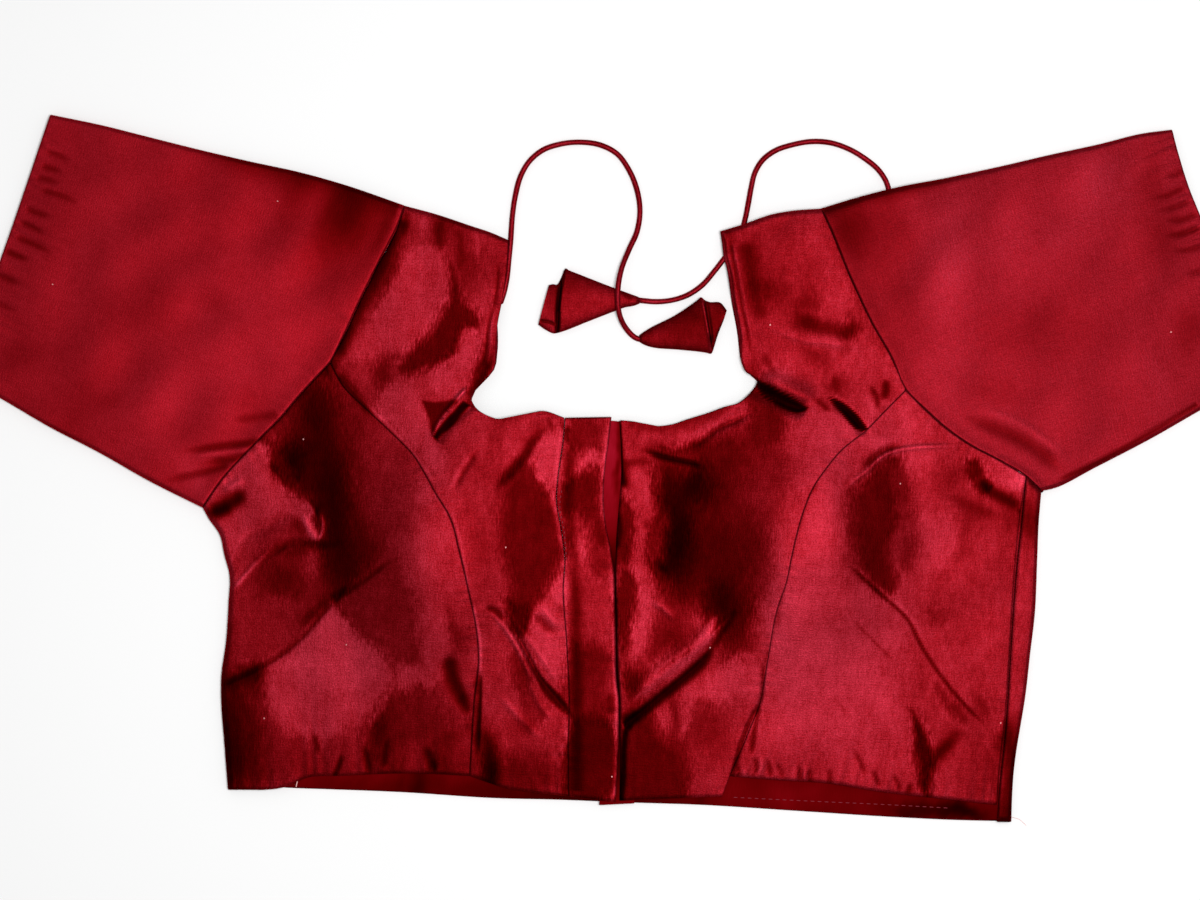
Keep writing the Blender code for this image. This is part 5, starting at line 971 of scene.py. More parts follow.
def front_height(x, y):
    """Height of the front's outer face: rest + cups + creases, held softly above the layers below."""
    rise = arch(x, y, FRONT_ARCH_REACH)
    lowest = FRONT_REST + rise - FRONT_SINK
    height = FRONT_REST + rise + undulation(x, y, 0.2, 34, 5)
    for puff, middle_x, middle_y, across, along in CUPS:
        height = height + puff * np.exp(-(((x - middle_x) / across) ** 2) - ((y - middle_y) / along) ** 2)
    for crest, _, *shape in FRONT_CREASES:
        if crest:
            height = height + crest * bell(x, y, *shape)
    return 0.5 * (height + lowest + np.sqrt((height - lowest) ** 2 + 0.25))


def edge_distances(points):
    """Distance in mm from each point of a grid to its left, right, low and high edges, along the grid."""
    across = np.linalg.norm(np.diff(points, axis=1), axis=2)
    up = np.linalg.norm(np.diff(points, axis=0), axis=2)
    from_left = np.concatenate([np.zeros((len(points), 1)), np.cumsum(across, axis=1)], axis=1)
    from_low = np.concatenate([np.zeros((1, points.shape[1])), np.cumsum(up, axis=0)], axis=0)
    return {
        "left": (from_left, from_low[:, :1]),
        "right": (from_left[:, -1:] - from_left, from_low[:, -1:]),
        "low": (from_low, from_left[:1]),
        "high": (from_low[-1:] - from_low, from_left[-1:]),
    }


def rolled(distance, radius, drop):
    """Fall of a rounded edge: a quarter of an ellipse, the drop high and the radius wide."""
    inward = np.clip(1 - distance / radius, 0, 1)
    return drop * (1 - np.sqrt(1 - inward**2))


def puckered(distance, along, height, pitch, reach, seed):
    """Small folds square to an edge, of uneven height and spacing, fading inwards."""
    chance = np.random.default_rng(seed)
    phase = math.tau * along / pitch
    uneven = 1.1 * np.sin(phase / 2.7 + chance.uniform(0, 6))
    uneven = uneven + 0.8 * np.sin(phase / 5.3 + chance.uniform(0, 6))
    strength = 0.6 + 0.4 * np.sin(phase / 3.9 + chance.uniform(0, 6))
    return height * strength * np.sin(phase + uneven) * np.exp(-distance / reach)


def worked_edges(points, height, edges):
    """Rolls and puckers the edges of a grid: rows of (edge, radius, drop, pucker height, pitch, reach)."""
    distances = edge_distances(points)
    for seed, (name, radius, drop, rise, pitch, reach) in enumerate(edges):
        distance, along = distances[name]
        if rise:
            height = height + puckered(distance, along, rise, pitch, reach, seed + 11)
        height = height - rolled(distance, radius, drop)
    return height


def grid_faces(rows, columns, closed=False, start=0):
    """Corner numbers (faces, 4) of the quads of a grid whose points are numbered row by row."""
    i, j = np.meshgrid(np.arange(rows - 1), np.arange(columns if closed else columns - 1), indexing="ij")
    k = (j + 1) % columns
    corners = [i * columns + j, i * columns + k, (i + 1) * columns + k, (i + 1) * columns + j]
    return start + np.stack(corners, axis=-1).reshape(-1, 4)


def shell_faces(rows, columns, closed=False):
    """Quads of a closed shell: an outer grid, an inner grid numbered after it, and the rims between them."""
    count = rows * columns
    number = np.arange(count).reshape(rows, columns)
    outer = grid_faces(rows, columns, closed)
    inner = outer[:, ::-1] + count
    loops = [(number[0], closed, True), (number[-1], closed, False)]
    if not closed:
        loops += [(number[:, 0], False, False), (number[:, -1], False, True)]
    faces = [outer, inner]
    for edge, wraps, flip in loops:
        first, second = (edge, np.roll(edge, -1)) if wraps else (edge[:-1], edge[1:])
        rim = np.stack([first, second, second + count, first + count], axis=1)
        faces.append(rim[:, ::-1] if flip else rim)
    return np.concatenate(faces)


def linked(name, points, faces):
    """An object from points in mm and their faces, put in the scene."""
    mesh = bpy.data.meshes.new(name)
    mesh.from_pydata((points * MM).tolist(), [], faces)
    made = bpy.data.objects.new(name, mesh)
    bpy.context.scene.collection.objects.link(made)
    return made


def cleaned(made, operator, kind, **settings):
    """Runs a mesh operator over all the faces or verts of a piece, and shades it smooth."""
    work = bmesh.new()
    work.from_mesh(made.data)
    operator(work, **{kind: getattr(work, kind)[:]}, **settings)
    work.to_mesh(made.data)
    work.free()
    made.data.shade_smooth()
    return made


def new_solid(name, points, faces):
    """A closed object from points in mm and their faces, with its rims sharp."""
    made = cleaned(linked(name, points, faces), bmesh.ops.recalc_face_normals, "faces")
    made.data.set_sharp_from_angle(angle=RIM_ANGLE)
    return made


def new_shell(name, outer, inner, closed=False):
    """The closed shell between two like grids of points."""
    points = np.concatenate([outer.reshape(-1, 3), inner.reshape(-1, 3)])
    return new_solid(name + "_cloth", points, shell_faces(*outer.shape[:2], closed).tolist())


def add_grain(mesh, across, along):
    """The grain as a UV map in metres, from each vertex's place across it and along it."""
    corner = np.empty(len(mesh.loops), np.int32)
    mesh.loops.foreach_get("vertex_index", corner)
    places = np.column_stack([across, along])[corner].astype(np.float32)
    mesh.uv_layers.new(name="grain").uv.foreach_set("vector", places.ravel())


def add_values(mesh, name, values):
    attribute = mesh.attributes.new(name, "FLOAT", "POINT")
    attribute.data.foreach_set("value", values.astype(np.float32))


def dress(made, material, grain=GRAIN_TURN, creases=(), areas=(), blobs=(), shadows=(), seed=0):
    """Gives a piece its material, its grain as a UV map in metres, and the painted shade and highlight of its
    sheen as an attribute.

    The map is the plan turned by the grain: u = x cos g + y sin g across it, v = y cos g - x sin g along it.
    The turn is how much the painted shading changes between the places around a point.
    """
    mesh = made.data
    place = np.empty(len(mesh.vertices) * 3, np.float32)
    mesh.vertices.foreach_get("co", place)
    x, y, _ = place.reshape(-1, 3).astype(float).T
    u = x * math.cos(grain) + y * math.sin(grain)
    v = y * math.cos(grain) - x * math.sin(grain)
    add_grain(mesh, u + seed, v)
    x, y = x / MM, y / MM
    tone = painted_shading_of(x, y, creases, areas, blobs, shadows)
    turn = np.zeros_like(tone)
    if areas:
        around = [painted_shading_of(x + aside, y + ahead, (), areas, blobs) for aside, ahead in TURN_PLACES]
        turn = np.minimum(np.ptp(around, axis=0), TURN_MOST)
    add_values(mesh, "tone", tone)
    add_values(mesh, "turn", turn)
    mesh.materials.append(material)


def settle(made, slot, *nodes):
    """Puts a piece on the blouse's one body and lets it stand for its solids. The slot is not used."""
    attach(made, BODY)
    if nodes:
        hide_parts(*nodes)
    return made


def flat_cut(outline, layers=1):
    """Width, length and area in metres of a panel's own outline (rows, columns, 2), laid out."""
    size = np.ptp(outline.reshape(-1, 2), axis=0) * MM
    along, across = np.gradient(outline, axis=0), np.gradient(outline, axis=1)
    cells = np.abs(along[..., 0] * across[..., 1] - along[..., 1] * across[..., 0])
    return (layers * size[0], size[1]), layers * cells.sum() * MM**2


class Wire:
    """A shader socket. Arithmetic on it adds Math nodes."""

    def __init__(self, finish, socket):
        self.finish = finish
        self.socket = socket

    def __add__(self, other):
        return self.finish.maths("ADD", self, other)

    def __sub__(self, other):
        return self.finish.maths("SUBTRACT", self, other)

    def __mul__(self, other):
        return self.finish.maths("MULTIPLY", self, other)

    def __lt__(self, other):
        return self.finish.maths("LESS_THAN", self, other)

    __radd__ = __add__
    __rmul__ = __mul__


class Finish:
    """A material under construction."""

    def __init__(self, name):
        self.material = bpy.data.materials.new(name)
        self.material.use_nodes = True
        self.tree = self.material.node_tree
        self.shader = self.tree.nodes["Principled BSDF"]

    def node(self, kind, settings=None, inputs=None, output=0):
        """One output of a new node of that kind, with its settings and its inputs."""
        made = self.tree.nodes.new(kind)
        for key, value in (settings or {}).items():
            setattr(made, key, value)
        for key, value in (inputs or {}).items():
            self.feed(made.inputs[key], value)
        return Wire(self, made.outputs[output])

    def feed(self, socket, value):
        if isinstance(value, Wire):
            self.tree.links.new(value.socket, socket)
        else:
            socket.default_value = value

    def surface(self, **values):
        """Sets or links inputs of the surface shader, named with _ for a space."""
        for key, value in values.items():
            self.feed(self.shader.inputs[key.replace("_", " ")], value)
        return self.material

    def maths(self, operation, *values):
        return self.node("ShaderNodeMath", {"operation": operation}, dict(enumerate(values)))

    def grain(self):
        return self.node("ShaderNodeUVMap", {"uv_map": "grain"})

    def attribute(self, name):
        return self.node("ShaderNodeAttribute", {"attribute_name": name}, output="Fac")

    def noise(self, place, size, detail=2.0, offset=0.0):
        """Noise from 0 to 1 whose grains are size = (across, along) metres."""
        shift = (offset, offset, 0)
        inverse = (1 / size[0], 1 / size[1], 1)
        mapped = self.node("ShaderNodeMapping", {}, {"Vector": place, "Scale": inverse, "Location": shift})
        inputs = {"Vector": mapped, "Scale": 1.0, "Detail": detail}
        return self.node("ShaderNodeTexNoise", {"noise_dimensions": "2D"}, inputs)

    def bump(self, strength, distance, height):
        return self.node("ShaderNodeBump", {}, {"Strength": strength, "Distance": distance, "Height": height})

    def shaded(self, colour, brightness, deep=None):
        """A colour times (b, d, d). Unless given, d is b^2.6: dark folds of red cloth look the redder."""
        if deep is None:
            deep = self.maths("POWER", brightness, 2.6)
        factor = self.node("ShaderNodeCombineXYZ", {}, {"X": brightness, "Y": deep, "Z": deep})
        return self.node("ShaderNodeVectorMath", {"operation": "MULTIPLY"}, {0: colour, 1: factor})

    def mixed(self, factor, first, second):
        return self.node("ShaderNodeMix", {"data_type": "RGBA"}, {0: factor, 6: first, 7: second}, output=2)


def silk_material(name, colour, slub_contrast, painted_crumple_strength, roughness, metallic):
    """Raw silk: uneven threads both ways, painted shade and highlight of its sheen from the tone, and a few
    specks of pale lint.

    Where the tone changes fast, single warp threads catch the light or miss it: painted streaks times the
    turn. Painted crumple shading adds more light and dark. The painted sheen is the colour times (e^p,
    e^(2.2 p), e^(2.2 p)), and rises less steeply where it is brightest.
    """
    f = Finish(name)
    grain, tone, turn = f.grain(), f.attribute("tone"), f.attribute("turn")
    warp = f.noise(grain, (0.0006, 0.006), 3.0)
    weft = f.noise(grain, (0.004, 0.0007), 3.0, offset=7.0)
    slub = f.noise(grain, (0.02, 0.0011), 2.0, offset=29.0)
    streak = f.noise(grain, (0.001, 0.005), 3.0, offset=17.0)
    cloudy = f.noise(grain, (0.014, 0.02), 3.0, offset=3.0)
    crinkle = f.noise(grain, (0.004, 0.009), 2.0, offset=23.0)
    grit = f.noise(grain, (0.0008, 0.0009), 2.0, offset=11.0)
    contrast = slub_contrast * f.maths("MAXIMUM", 1.1 + tone * 0.35, 0.35)
    threads = ((warp - 0.5) + (weft - 0.5) * 0.9 + (slub - 0.5) * 0.6 + (grit - 0.5) * 2.3) * contrast
    # Painted crumple shading: noise that brightens and darkens the colour as crumpled satin would in the lamp
    painted_crumple_shade = (crinkle - 0.5) * 0.5 + (cloudy - 0.5) * 0.6 + (streak - 0.5) * 0.3
    # The power p: painted shading, painted streaks where it turns, the threads, and painted crumple shading
    power = tone + (streak - 0.5) * turn * 1.9 + threads + painted_crumple_shade * painted_crumple_strength
    bright = f.maths("MAXIMUM", power - 0.1, 0.0)
    brightest = f.maths("MAXIMUM", power - 0.35, 0.0)
    red = f.maths("EXPONENT", power - bright * 0.3)
    green_and_blue = f.maths("EXPONENT", power * 2.2 - brightest)
    cell = f.node("ShaderNodeMapping", {}, {"Vector": grain, "Scale": (9, 7, 1)})
    inputs = {"Vector": cell, "Scale": 1.0, "Randomness": 1.0}
    speck = f.node("ShaderNodeTexVoronoi", {"voronoi_dimensions": "2D"}, inputs) < 0.0035
    return f.surface(
        Base_Color=f.mixed(speck * 0.6, f.shaded(colour, red, green_and_blue), (0.6, 0.28, 0.28, 1)),
        Roughness=roughness + (weft - 0.5) * 0.16,
        Metallic=metallic,
        Normal=f.bump(0.5, 0.0002, warp * 0.5 + weft * 0.6 + grit * 0.8),
        Specular_IOR_Level=0.0,
        Specular_Tint=(0.9, 0.25, 0.3, 1),
    )


def lining_material(name, colour):
    """Smooth plain-woven lining, with a fine even thread."""
    f = Finish(name)
    grain, tone = f.grain(), f.attribute("tone")
    thread = f.noise(grain, (0.0006, 0.006), 2.0)
    cloudy = f.noise(grain, (0.02, 0.03), 1.0, offset=5.0)
    # The lining's colour carries painted shade from its tone: under the front's hem and in the opening's gap
    brightness = f.maths("EXPONENT", tone + (thread - 0.5) * 0.25 + (cloudy - 0.5) * 0.5)
    return f.surface(
        Base_Color=f.shaded(colour, brightness),
        Roughness=0.6,
        Metallic=0.0,
        Normal=f.bump(0.3, 0.0001, thread),
        Specular_IOR_Level=0.0,
    )


def thread_material(name, colour):
    """Twisted sewing thread."""
    f = Finish(name)
    ply = f.noise(f.node("ShaderNodeTexCoord", output="Object"), (0.0006, 0.0006), 1.0)
    shaded = f.shaded(colour, 0.8 + ply * 0.4)
    return f.surface(Base_Color=shaded, Roughness=0.5, Metallic=0.0, Specular_IOR_Level=0.2)


def front_outlines(step):
    """Outlines (rows, columns, 2) of the five cut pieces of the front, from its seams and edges."""
    left_seam = joined((line(PRINCESS_LEFT), UNDERARM), (line(ARMHOLE_LEFT_UPPER), SHOULDER))
    right_seam = joined((line(PRINCESS_RIGHT), UNDERARM), (line(ARMHOLE_RIGHT_UPPER), SHOULDER))
    left_neck = joined((line(PLACKET_STITCH), NECK_FOOT), (line(NECK_LEFT), SHOULDER))
    right_neck = joined((line(RIGHT_FRONT_EDGE), NECK_FOOT), (line(NECK_RIGHT), SHOULDER))
    arm_left = [
        ((level - UNDERARM) / (PRINCESS_TOP_LEFT - UNDERARM), x, y)
        for level, x, y in BACK_ARMHOLE_LEFT
        if level <= PRINCESS_TOP_LEFT
    ]
    arm_right = [
        ((PRINCESS_TOP_RIGHT - level) / (PRINCESS_TOP_RIGHT - SIDE_SEAM_TOP), x, y)
        for level, x, y in BACK_ARMHOLE_RIGHT[::-1]
        if SIDE_SEAM_TOP <= level <= PRINCESS_TOP_RIGHT
    ]
    whole_seam = line(PRINCESS_RIGHT)

    def right_side_seam(level):
        return whole_seam(PRINCESS_FOOT_RIGHT + level * (1 - PRINCESS_FOOT_RIGHT / UNDERARM))

    # name: left, right, low and high edge, last level, width and length along the cloth
    table = {
        "front_left_centre": (left_seam, left_neck, HEM_FRONT_LEFT, SHOULDER_LEFT, SHOULDER, 100, 345),
        "front_right_centre": (right_neck, right_seam, HEM_FRONT_RIGHT, SHOULDER_RIGHT, SHOULDER, 98, 345),
        "placket_overlap": (
            line(PLACKET_STITCH), line(PLACKET_EDGE), HEM_PLACKET, PLACKET_HEAD, NECK_FOOT, 29, 230,
        ),
        "front_left_side": (
            line(SIDE_LEFT), line(PRINCESS_LEFT), HEM_FRONT_LEFT_SIDE, arm_left, UNDERARM, 135, 200,
        ),
        "front_right_side": (
            right_side_seam, line(SIDE_SEAM_RIGHT), HEM_FRONT_RIGHT_SIDE, arm_right, UNDERARM, 140, 210,
        ),
    }
    outlines = {}
    for name, (left, right, low, high, last, width, length) in table.items():
        levels, across = last * spaced(length, step, EDGE_ROLL), spaced(width, step, EDGE_ROLL)
        outlines[name] = inset(patch(left, right, line(low), line(high), levels, across), SEAM_GAP)
    return outlines


def make_fronts(material, step):
    """The four panels of the front and the buttoning overlap, each a closed shell on the front's height."""
    for name, outline in front_outlines(step).items():
        x, y = outline[..., 0], outline[..., 1]
        height = front_height(x, y)
        top = worked_edges(outline, height, FRONT_EDGES[name])
        under = np.minimum(height, top + ROLL_ROOM) - CLOTH_WALL - WALL_ROOM
        made = new_shell(name, np.dstack([x, y, top]), np.dstack([x, y, under]))
        dress(made, material, GRAIN_TURN, FRONT_CREASES, FRONT_AREAS, FRONT_BLOBS, FRONT_SHADOWS)
        settle(made, "silk", name)


def make_underlap(material, step):
    """Strip of lining under both fronts, which shows in the gap between them."""
    left = line([(level, x - 10, y - 1.5) for level, x, y in PLACKET_EDGE])
    right = line([(level, x + 9, y - 1.5) for level, x, y in RIGHT_FRONT_EDGE])
    levels = NECK_FOOT * spaced(UNDERLAP_LENGTH, step, 1)
    across = spaced(UNDERLAP_WIDTH, step, 1)
    outline = patch(left, right, line(UNDERLAP_HEM), line(UNDERLAP_HEAD), levels, across)
    x, y = outline[..., 0], outline[..., 1]
    below_front = front_height(x, y) - CLOTH_WALL - WALL_ROOM - LAYER_GAP - UNDERLAP_CLEAR
    height = worked_edges(outline, below_front, [("high", 1.0, 0.5, 0, 8, 8)])
    outer, inner = np.dstack([x, y, height]), np.dstack([x, y, height - UNDERLAP_WALL])
    made = new_shell("placket_underlap", outer, inner)
    dress(made, material, blobs=UNDERLAP_BLOBS)
    settle(made, "lining", "placket_underlap")


def make_back(material, step):
    """The back panel: two patches that meet below the deep neck, and its fold round the right side."""
    side_left = joined((line(SIDE_LEFT), UNDERARM), (line(BACK_ARMHOLE_LEFT), SHOULDER))
    middle = line(BACK_MIDDLE)
    neck_left = joined((middle, BACK_NECK), (line(BACK_NECK_LEFT), SHOULDER))
    neck_right = joined((middle, BACK_NECK), (line(BACK_NECK_RIGHT), SHOULDER))
    foot = [(place, x - SIDE_ROLL, y) for place, x, y in SIDE_RIGHT]
    head = [(24, 261.5 - SIDE_ROLL, -13.5), *BACK_ARMHOLE_RIGHT[1:]]
    side_right = joined((line(foot), UNDERARM), (line(head), SHOULDER))
    per_level = max(1, round(LEVEL_LENGTH / step))
    places = np.linspace(HEM, SHOULDER, SHOULDER * per_level + 1)
    across = np.linspace(0, 1, round(HALF_BACK_WIDTH / step) + 1)
    left = patch(side_left, neck_left, line(HEM_BACK_LEFT), line(SHOULDER_LEFT), places, across)
    right = patch(neck_right, side_right, line(HEM_BACK_RIGHT), line(SHOULDER_RIGHT), places, across)
    shared = slice(0, BACK_NECK * per_level + 1)
    left_in, right_in = inset(left, SEAM_GAP), inset(right, SEAM_GAP)
    left_in[shared, -1], right_in[shared, 0] = left[shared, -1], right[shared, 0]
    edge = right_in[: UNDERARM * per_level + 1, -1]
    turn = np.radians(np.linspace(-90, 90, 13))
    seam = line(SIDE_SEAM_RIGHT)(places[: len(edge)])
    to_seam = np.array([0.25, 0.5, 0.75, 0.93, 1.0])
    strip = edge[:, :1] + (seam[:, :1] + SEAM_GAP - edge[:, :1]) * to_seam
    climb = smooth_step((places[: len(edge)] - CORNER_LEVEL) / (UNDERARM - CORNER_LEVEL))[:, None]
    fold_height = SIDE_ROLL * (1 + np.sin(turn))
    seam_height = FRONT_REST - np.array([0, 0, 0, 0.2, 0.7])
    wrap_x = np.hstack([edge[:, :1] + SIDE_ROLL * np.cos(turn), strip])
    outermost = edge[:, :1] + SIDE_ROLL
    share = (outermost - wrap_x) / (outermost - seam[:, :1]) * (np.arange(wrap_x.shape[1]) > len(turn) // 2)
    wrap_y = edge[:, 1:] + climb * (seam[:, 1:] - edge[:, 1:]) * share
    wrap_height = np.repeat([np.concatenate([fold_height, seam_height])], len(edge), axis=0)
    wrap = np.dstack([wrap_x, wrap_y, wrap_height])
    points, faces, start = [], [], 0
    for flat in (left_in, right_in):
        points.append(np.dstack([flat, arch(flat[..., 0], flat[..., 1])]).reshape(-1, 3))
        faces.append(grid_faces(*flat.shape[:2], start=start)[:, ::-1])
        start += len(points[-1])
    points.append(wrap.reshape(-1, 3))
    faces.append(grid_faces(*wrap.shape[:2], start=start)[:, ::-1])
    made = linked("back_panel_cloth", np.concatenate(points), np.concatenate(faces).tolist())
    cleaned(made, bmesh.ops.remove_doubles, "verts", dist=0.01 * MM)
    dress(made, material, GRAIN_TURN, blobs=BACK_BLOBS)
    wall = made.modifiers.new("Wall", "SOLIDIFY")
    wall.thickness = BACK_WALL * MM
    wall.offset = -1
    settle(made, "silk", "back_panel")
    (width, length), size = flat_cut(left_in)
    (width_right, _), size_right = flat_cut(right_in)
    flat = (width + width_right + WRAP_WIDTH * MM, length)


def make_facing(material, step):
    """Facing of lining inside the back's hem, which shows below the front's hem."""
    left_half = [(0.5 * part, x, y + FACING_ABOVE_HEM) for part, x, y in HEM_BACK_LEFT[1:]]
    right_half = [(0.5 + 0.5 * part, x, y + FACING_ABOVE_HEM) for part, x, y in HEM_BACK_RIGHT[1:-1]]
    low = [(0, *FACING_ENDS[0]), *left_half, *right_half, (1, *FACING_ENDS[1])]
    high = [(part, x, y + FACING_DEPTH) for part, x, y in low]
    ends = [line([(0, *low[k][1:]), (1, *high[k][1:])]) for k in (0, -1)]
    up, across = spaced(FACING_DEPTH, step, 1), spaced(FACING_WIDTH, step, 1)
    outline = patch(*ends, line(low), line(high), up, across)
    x, y = outline[..., 0], outline[..., 1]
    base = np.full_like(x, BACK_WALL + LAYER_GAP)
    height = worked_edges(outline, base + FACING_WALL, [("low", 1.5, 0.6, 0.12, 12, 8)])
    made = new_shell("back_hem_facing", np.dstack([x, y, height]), np.dstack([x, y, base]))
    dress(made, material, 0, blobs=FACING_BLOBS)
    settle(made, "lining", "back_hem_facing")


def make_stitches(name, rows, radius, height, material):
    """Stitches, or bits of thread, that lie on the cloth along the last of the routes.

    Known fault: the rows before the last one aren't laid. Each stitch is a six-sided rod: middle +
    r (cos a * sideways + sin a * up), with r halved at both ends. The height of its middle above the
    surface is a function of x and y.
    """
    sides, rings = 6, 4
    length, gap, route = rows[-1]
    route = rounded(route, 1.0)
    passed = passed_along(route)
    starts = np.arange(0, max(passed[-1] - length, 0.01), length + gap)
    stops = starts[:, None] + length * np.array([0, 0.15, 0.85, 1])
    middle = np.dstack([np.interp(stops, passed, route[:, axis]) for axis in (0, 1)])
    along = unit(middle[:, -1] - middle[:, 0])
    sideways = np.column_stack([-along[:, 1], along[:, 0]])
    turn = np.linspace(0, math.tau, sides + 1)[:-1]
    size = radius * np.array([0.5, 1, 1, 0.5])[:, None]
    plan = middle[:, :, None] + (size * np.cos(turn))[..., None] * sideways[:, None, None]
    z = height(middle[..., 0], middle[..., 1])[..., None] + size * np.sin(turn)
    points = np.concatenate([plan, z[..., None]], axis=3).reshape(-1, 3)
    rod = grid_faces(rings, sides, closed=True)
    caps = np.array([[0, 1, 2, 3], [0, 3, 4, 5], [21, 20, 19, 18], [23, 22, 21, 18]])
    faces = np.concatenate([rod, caps])[None] + rings * sides * np.arange(len(middle))[:, None, None]
    made = new_solid(name, points, faces.reshape(-1, 4).tolist())
    made.data.materials.append(material)
    return settle(made, "silk")


def make_threads(thread, lint):
    """Stitches of the front and facing, lint that clings to the cloth, and a loose thread at the hem."""

    def above_front(rise):
        return lambda x, y: front_height(x, y) + rise

    def level(height):
        return lambda x, y: np.full_like(x, height)

    facing_top = BACK_WALL + LAYER_GAP + FACING_WALL
    make_stitches("front_stitches", FRONT_STITCHES, 0.28, above_front(0.05), thread)
    make_stitches("facing_stitches", FACING_STITCHES, 0.25, level(facing_top), thread)
    make_stitches("lint", LINT, 0.3, above_front(0.3), lint)
    make_stitches("loose_thread", LOOSE_THREAD, 0.13, level(0.3), lint)


def sleeve_ring(low, top, cuff, armhole, step):
    """Points of a flattened tube (rows from the cuff, columns round the low fold, face, top fold, under).

    A section's ends are half circles as high as the sleeve, and its face and underside are level.
    """
    low_line, top_line, cuff_line, arm_line = line(low), line(top), line(cuff), line(armhole)
    part = spaced(SLEEVE_LENGTH, step, EDGE_ROLL)
    height = SLEEVE_CUFF_HEIGHT + (SLEEVE_HEAD_HEIGHT - SLEEVE_CUFF_HEIGHT) * part
    width = np.linalg.norm(top_line(part) - low_line(part), axis=1)
    rim = (height / 2 / width)[:, None]
    turn = np.radians(np.linspace(-90, 90, 15))
    face, under = round(SLEEVE_WIDTH / step), SLEEVE_UNDER_COLUMNS
    low_fold = rim * (1 - np.cos(turn))
    top_fold = 1 - rim * (1 - np.cos(turn[::-1]))
    face_part = rim + (1 - 2 * rim) * np.linspace(0, 1, face)[1:-1]
    under_part = rim + (1 - 2 * rim) * np.linspace(1, 0, under)[1:-1]
    across = np.hstack([low_fold, face_part, top_fold, under_part])
    rising, falling = (1 + np.sin(turn)) / 2, (1 + np.sin(turn[::-1])) / 2
    lift = np.concatenate([rising, np.ones(face - 2), falling, np.zeros(under - 2)])
    v, u = part[:, None, None], across[..., None]
    ring = (1 - u) * low_line(part)[:, None] + u * top_line(part)[:, None]
    ring = ring + (1 - v) * bulge(cuff_line, across) + v * bulge(arm_line, across)
    ring[-1] += SEAM_GAP * (0.4 + 1.4 * lift)[:, None] * unit(ring[-2] - ring[-1])
    return ring, lift, height, part


def offset_inwards(points, wall):
    """A ring-like grid moved inwards along its own normals, the cross product of its two directions."""
    along = np.gradient(points, axis=0)
    around = (np.roll(points, -1, axis=1) - np.roll(points, 1, axis=1)) / 2
    return points - wall * unit(np.cross(around, along))


def make_sleeve(name, shape, grain, creases, blobs, turned, material, step):
    """A sleeve: the flattened tube with the cuff's puckers and its face's own creases, as a closed shell."""
    ring, lift, height, part = sleeve_ring(*shape, step)
    x, y = ring[..., 0], ring[..., 1]
    from_cuff = part[:, None] * SLEEVE_LENGTH
    from_head = SLEEVE_LENGTH - from_cuff
    surface = np.zeros_like(x)
    for rise, _, *route in creases:
        if rise:
            surface += rise * bell(x, y, *route)
    surface += undulation(x, y, 0.3, 40, 8)
    across = np.cumsum(np.linalg.norm(np.diff(ring, axis=1, prepend=ring[:, :1]), axis=2), axis=1)
    surface += puckered(from_cuff, across, 0.35, 7.0, 22, 21) * smooth_step(from_cuff / 4)
    surface += puckered(from_head, across, 0.2, 9.0, 10, 23)
    surface += 0.5 * np.exp(-((from_head / 9) ** 2))
    surface -= rolled(from_head, 1.4, 1.2) + rolled(from_cuff, 1.2, 0.7)
    wide, narrow = arch(x, y, FRONT_ARCH_REACH), arch(x, y)
    z = lift * (height[:, None] + surface * lift**2) + narrow + (wide - narrow) * lift
    outer = np.dstack([ring, z])
    inner = offset_inwards(outer, -CLOTH_WALL if turned else CLOTH_WALL)
    made = new_shell(name, outer, inner, closed=True)
    dress(made, material, grain, creases, (), blobs, seed=1)
    settle(made, "silk", name)
    fold = 7  # columns from the underside's edge to the middle of the low fold
    (width, length), size = flat_cut(ring[:, fold : 3 * fold + round(SLEEVE_WIDTH / step)])


def make_sleeves(left_silk, right_silk, step):
    left_arm, right_arm = [
        [((level - UNDERARM) / (SHOULDER - UNDERARM), x, y) for level, x, y in armhole]
        for armhole in (BACK_ARMHOLE_LEFT, BACK_ARMHOLE_RIGHT)
    ]
    left = (SLEEVE_LEFT_LOW, SLEEVE_LEFT_TOP, CUFF_LEFT, left_arm)
    right = (SLEEVE_RIGHT_LOW, SLEEVE_RIGHT_TOP, CUFF_RIGHT, right_arm)
    left_looks = (math.radians(72), SLEEVE_LEFT_CREASES, SLEEVE_LEFT_BLOBS)
    right_looks = (math.radians(-76), SLEEVE_RIGHT_CREASES, SLEEVE_RIGHT_BLOBS)
    make_sleeve("sleeve_left", left, *left_looks, True, left_silk, step)
    make_sleeve("sleeve_right", right, *right_looks, False, right_silk, step)


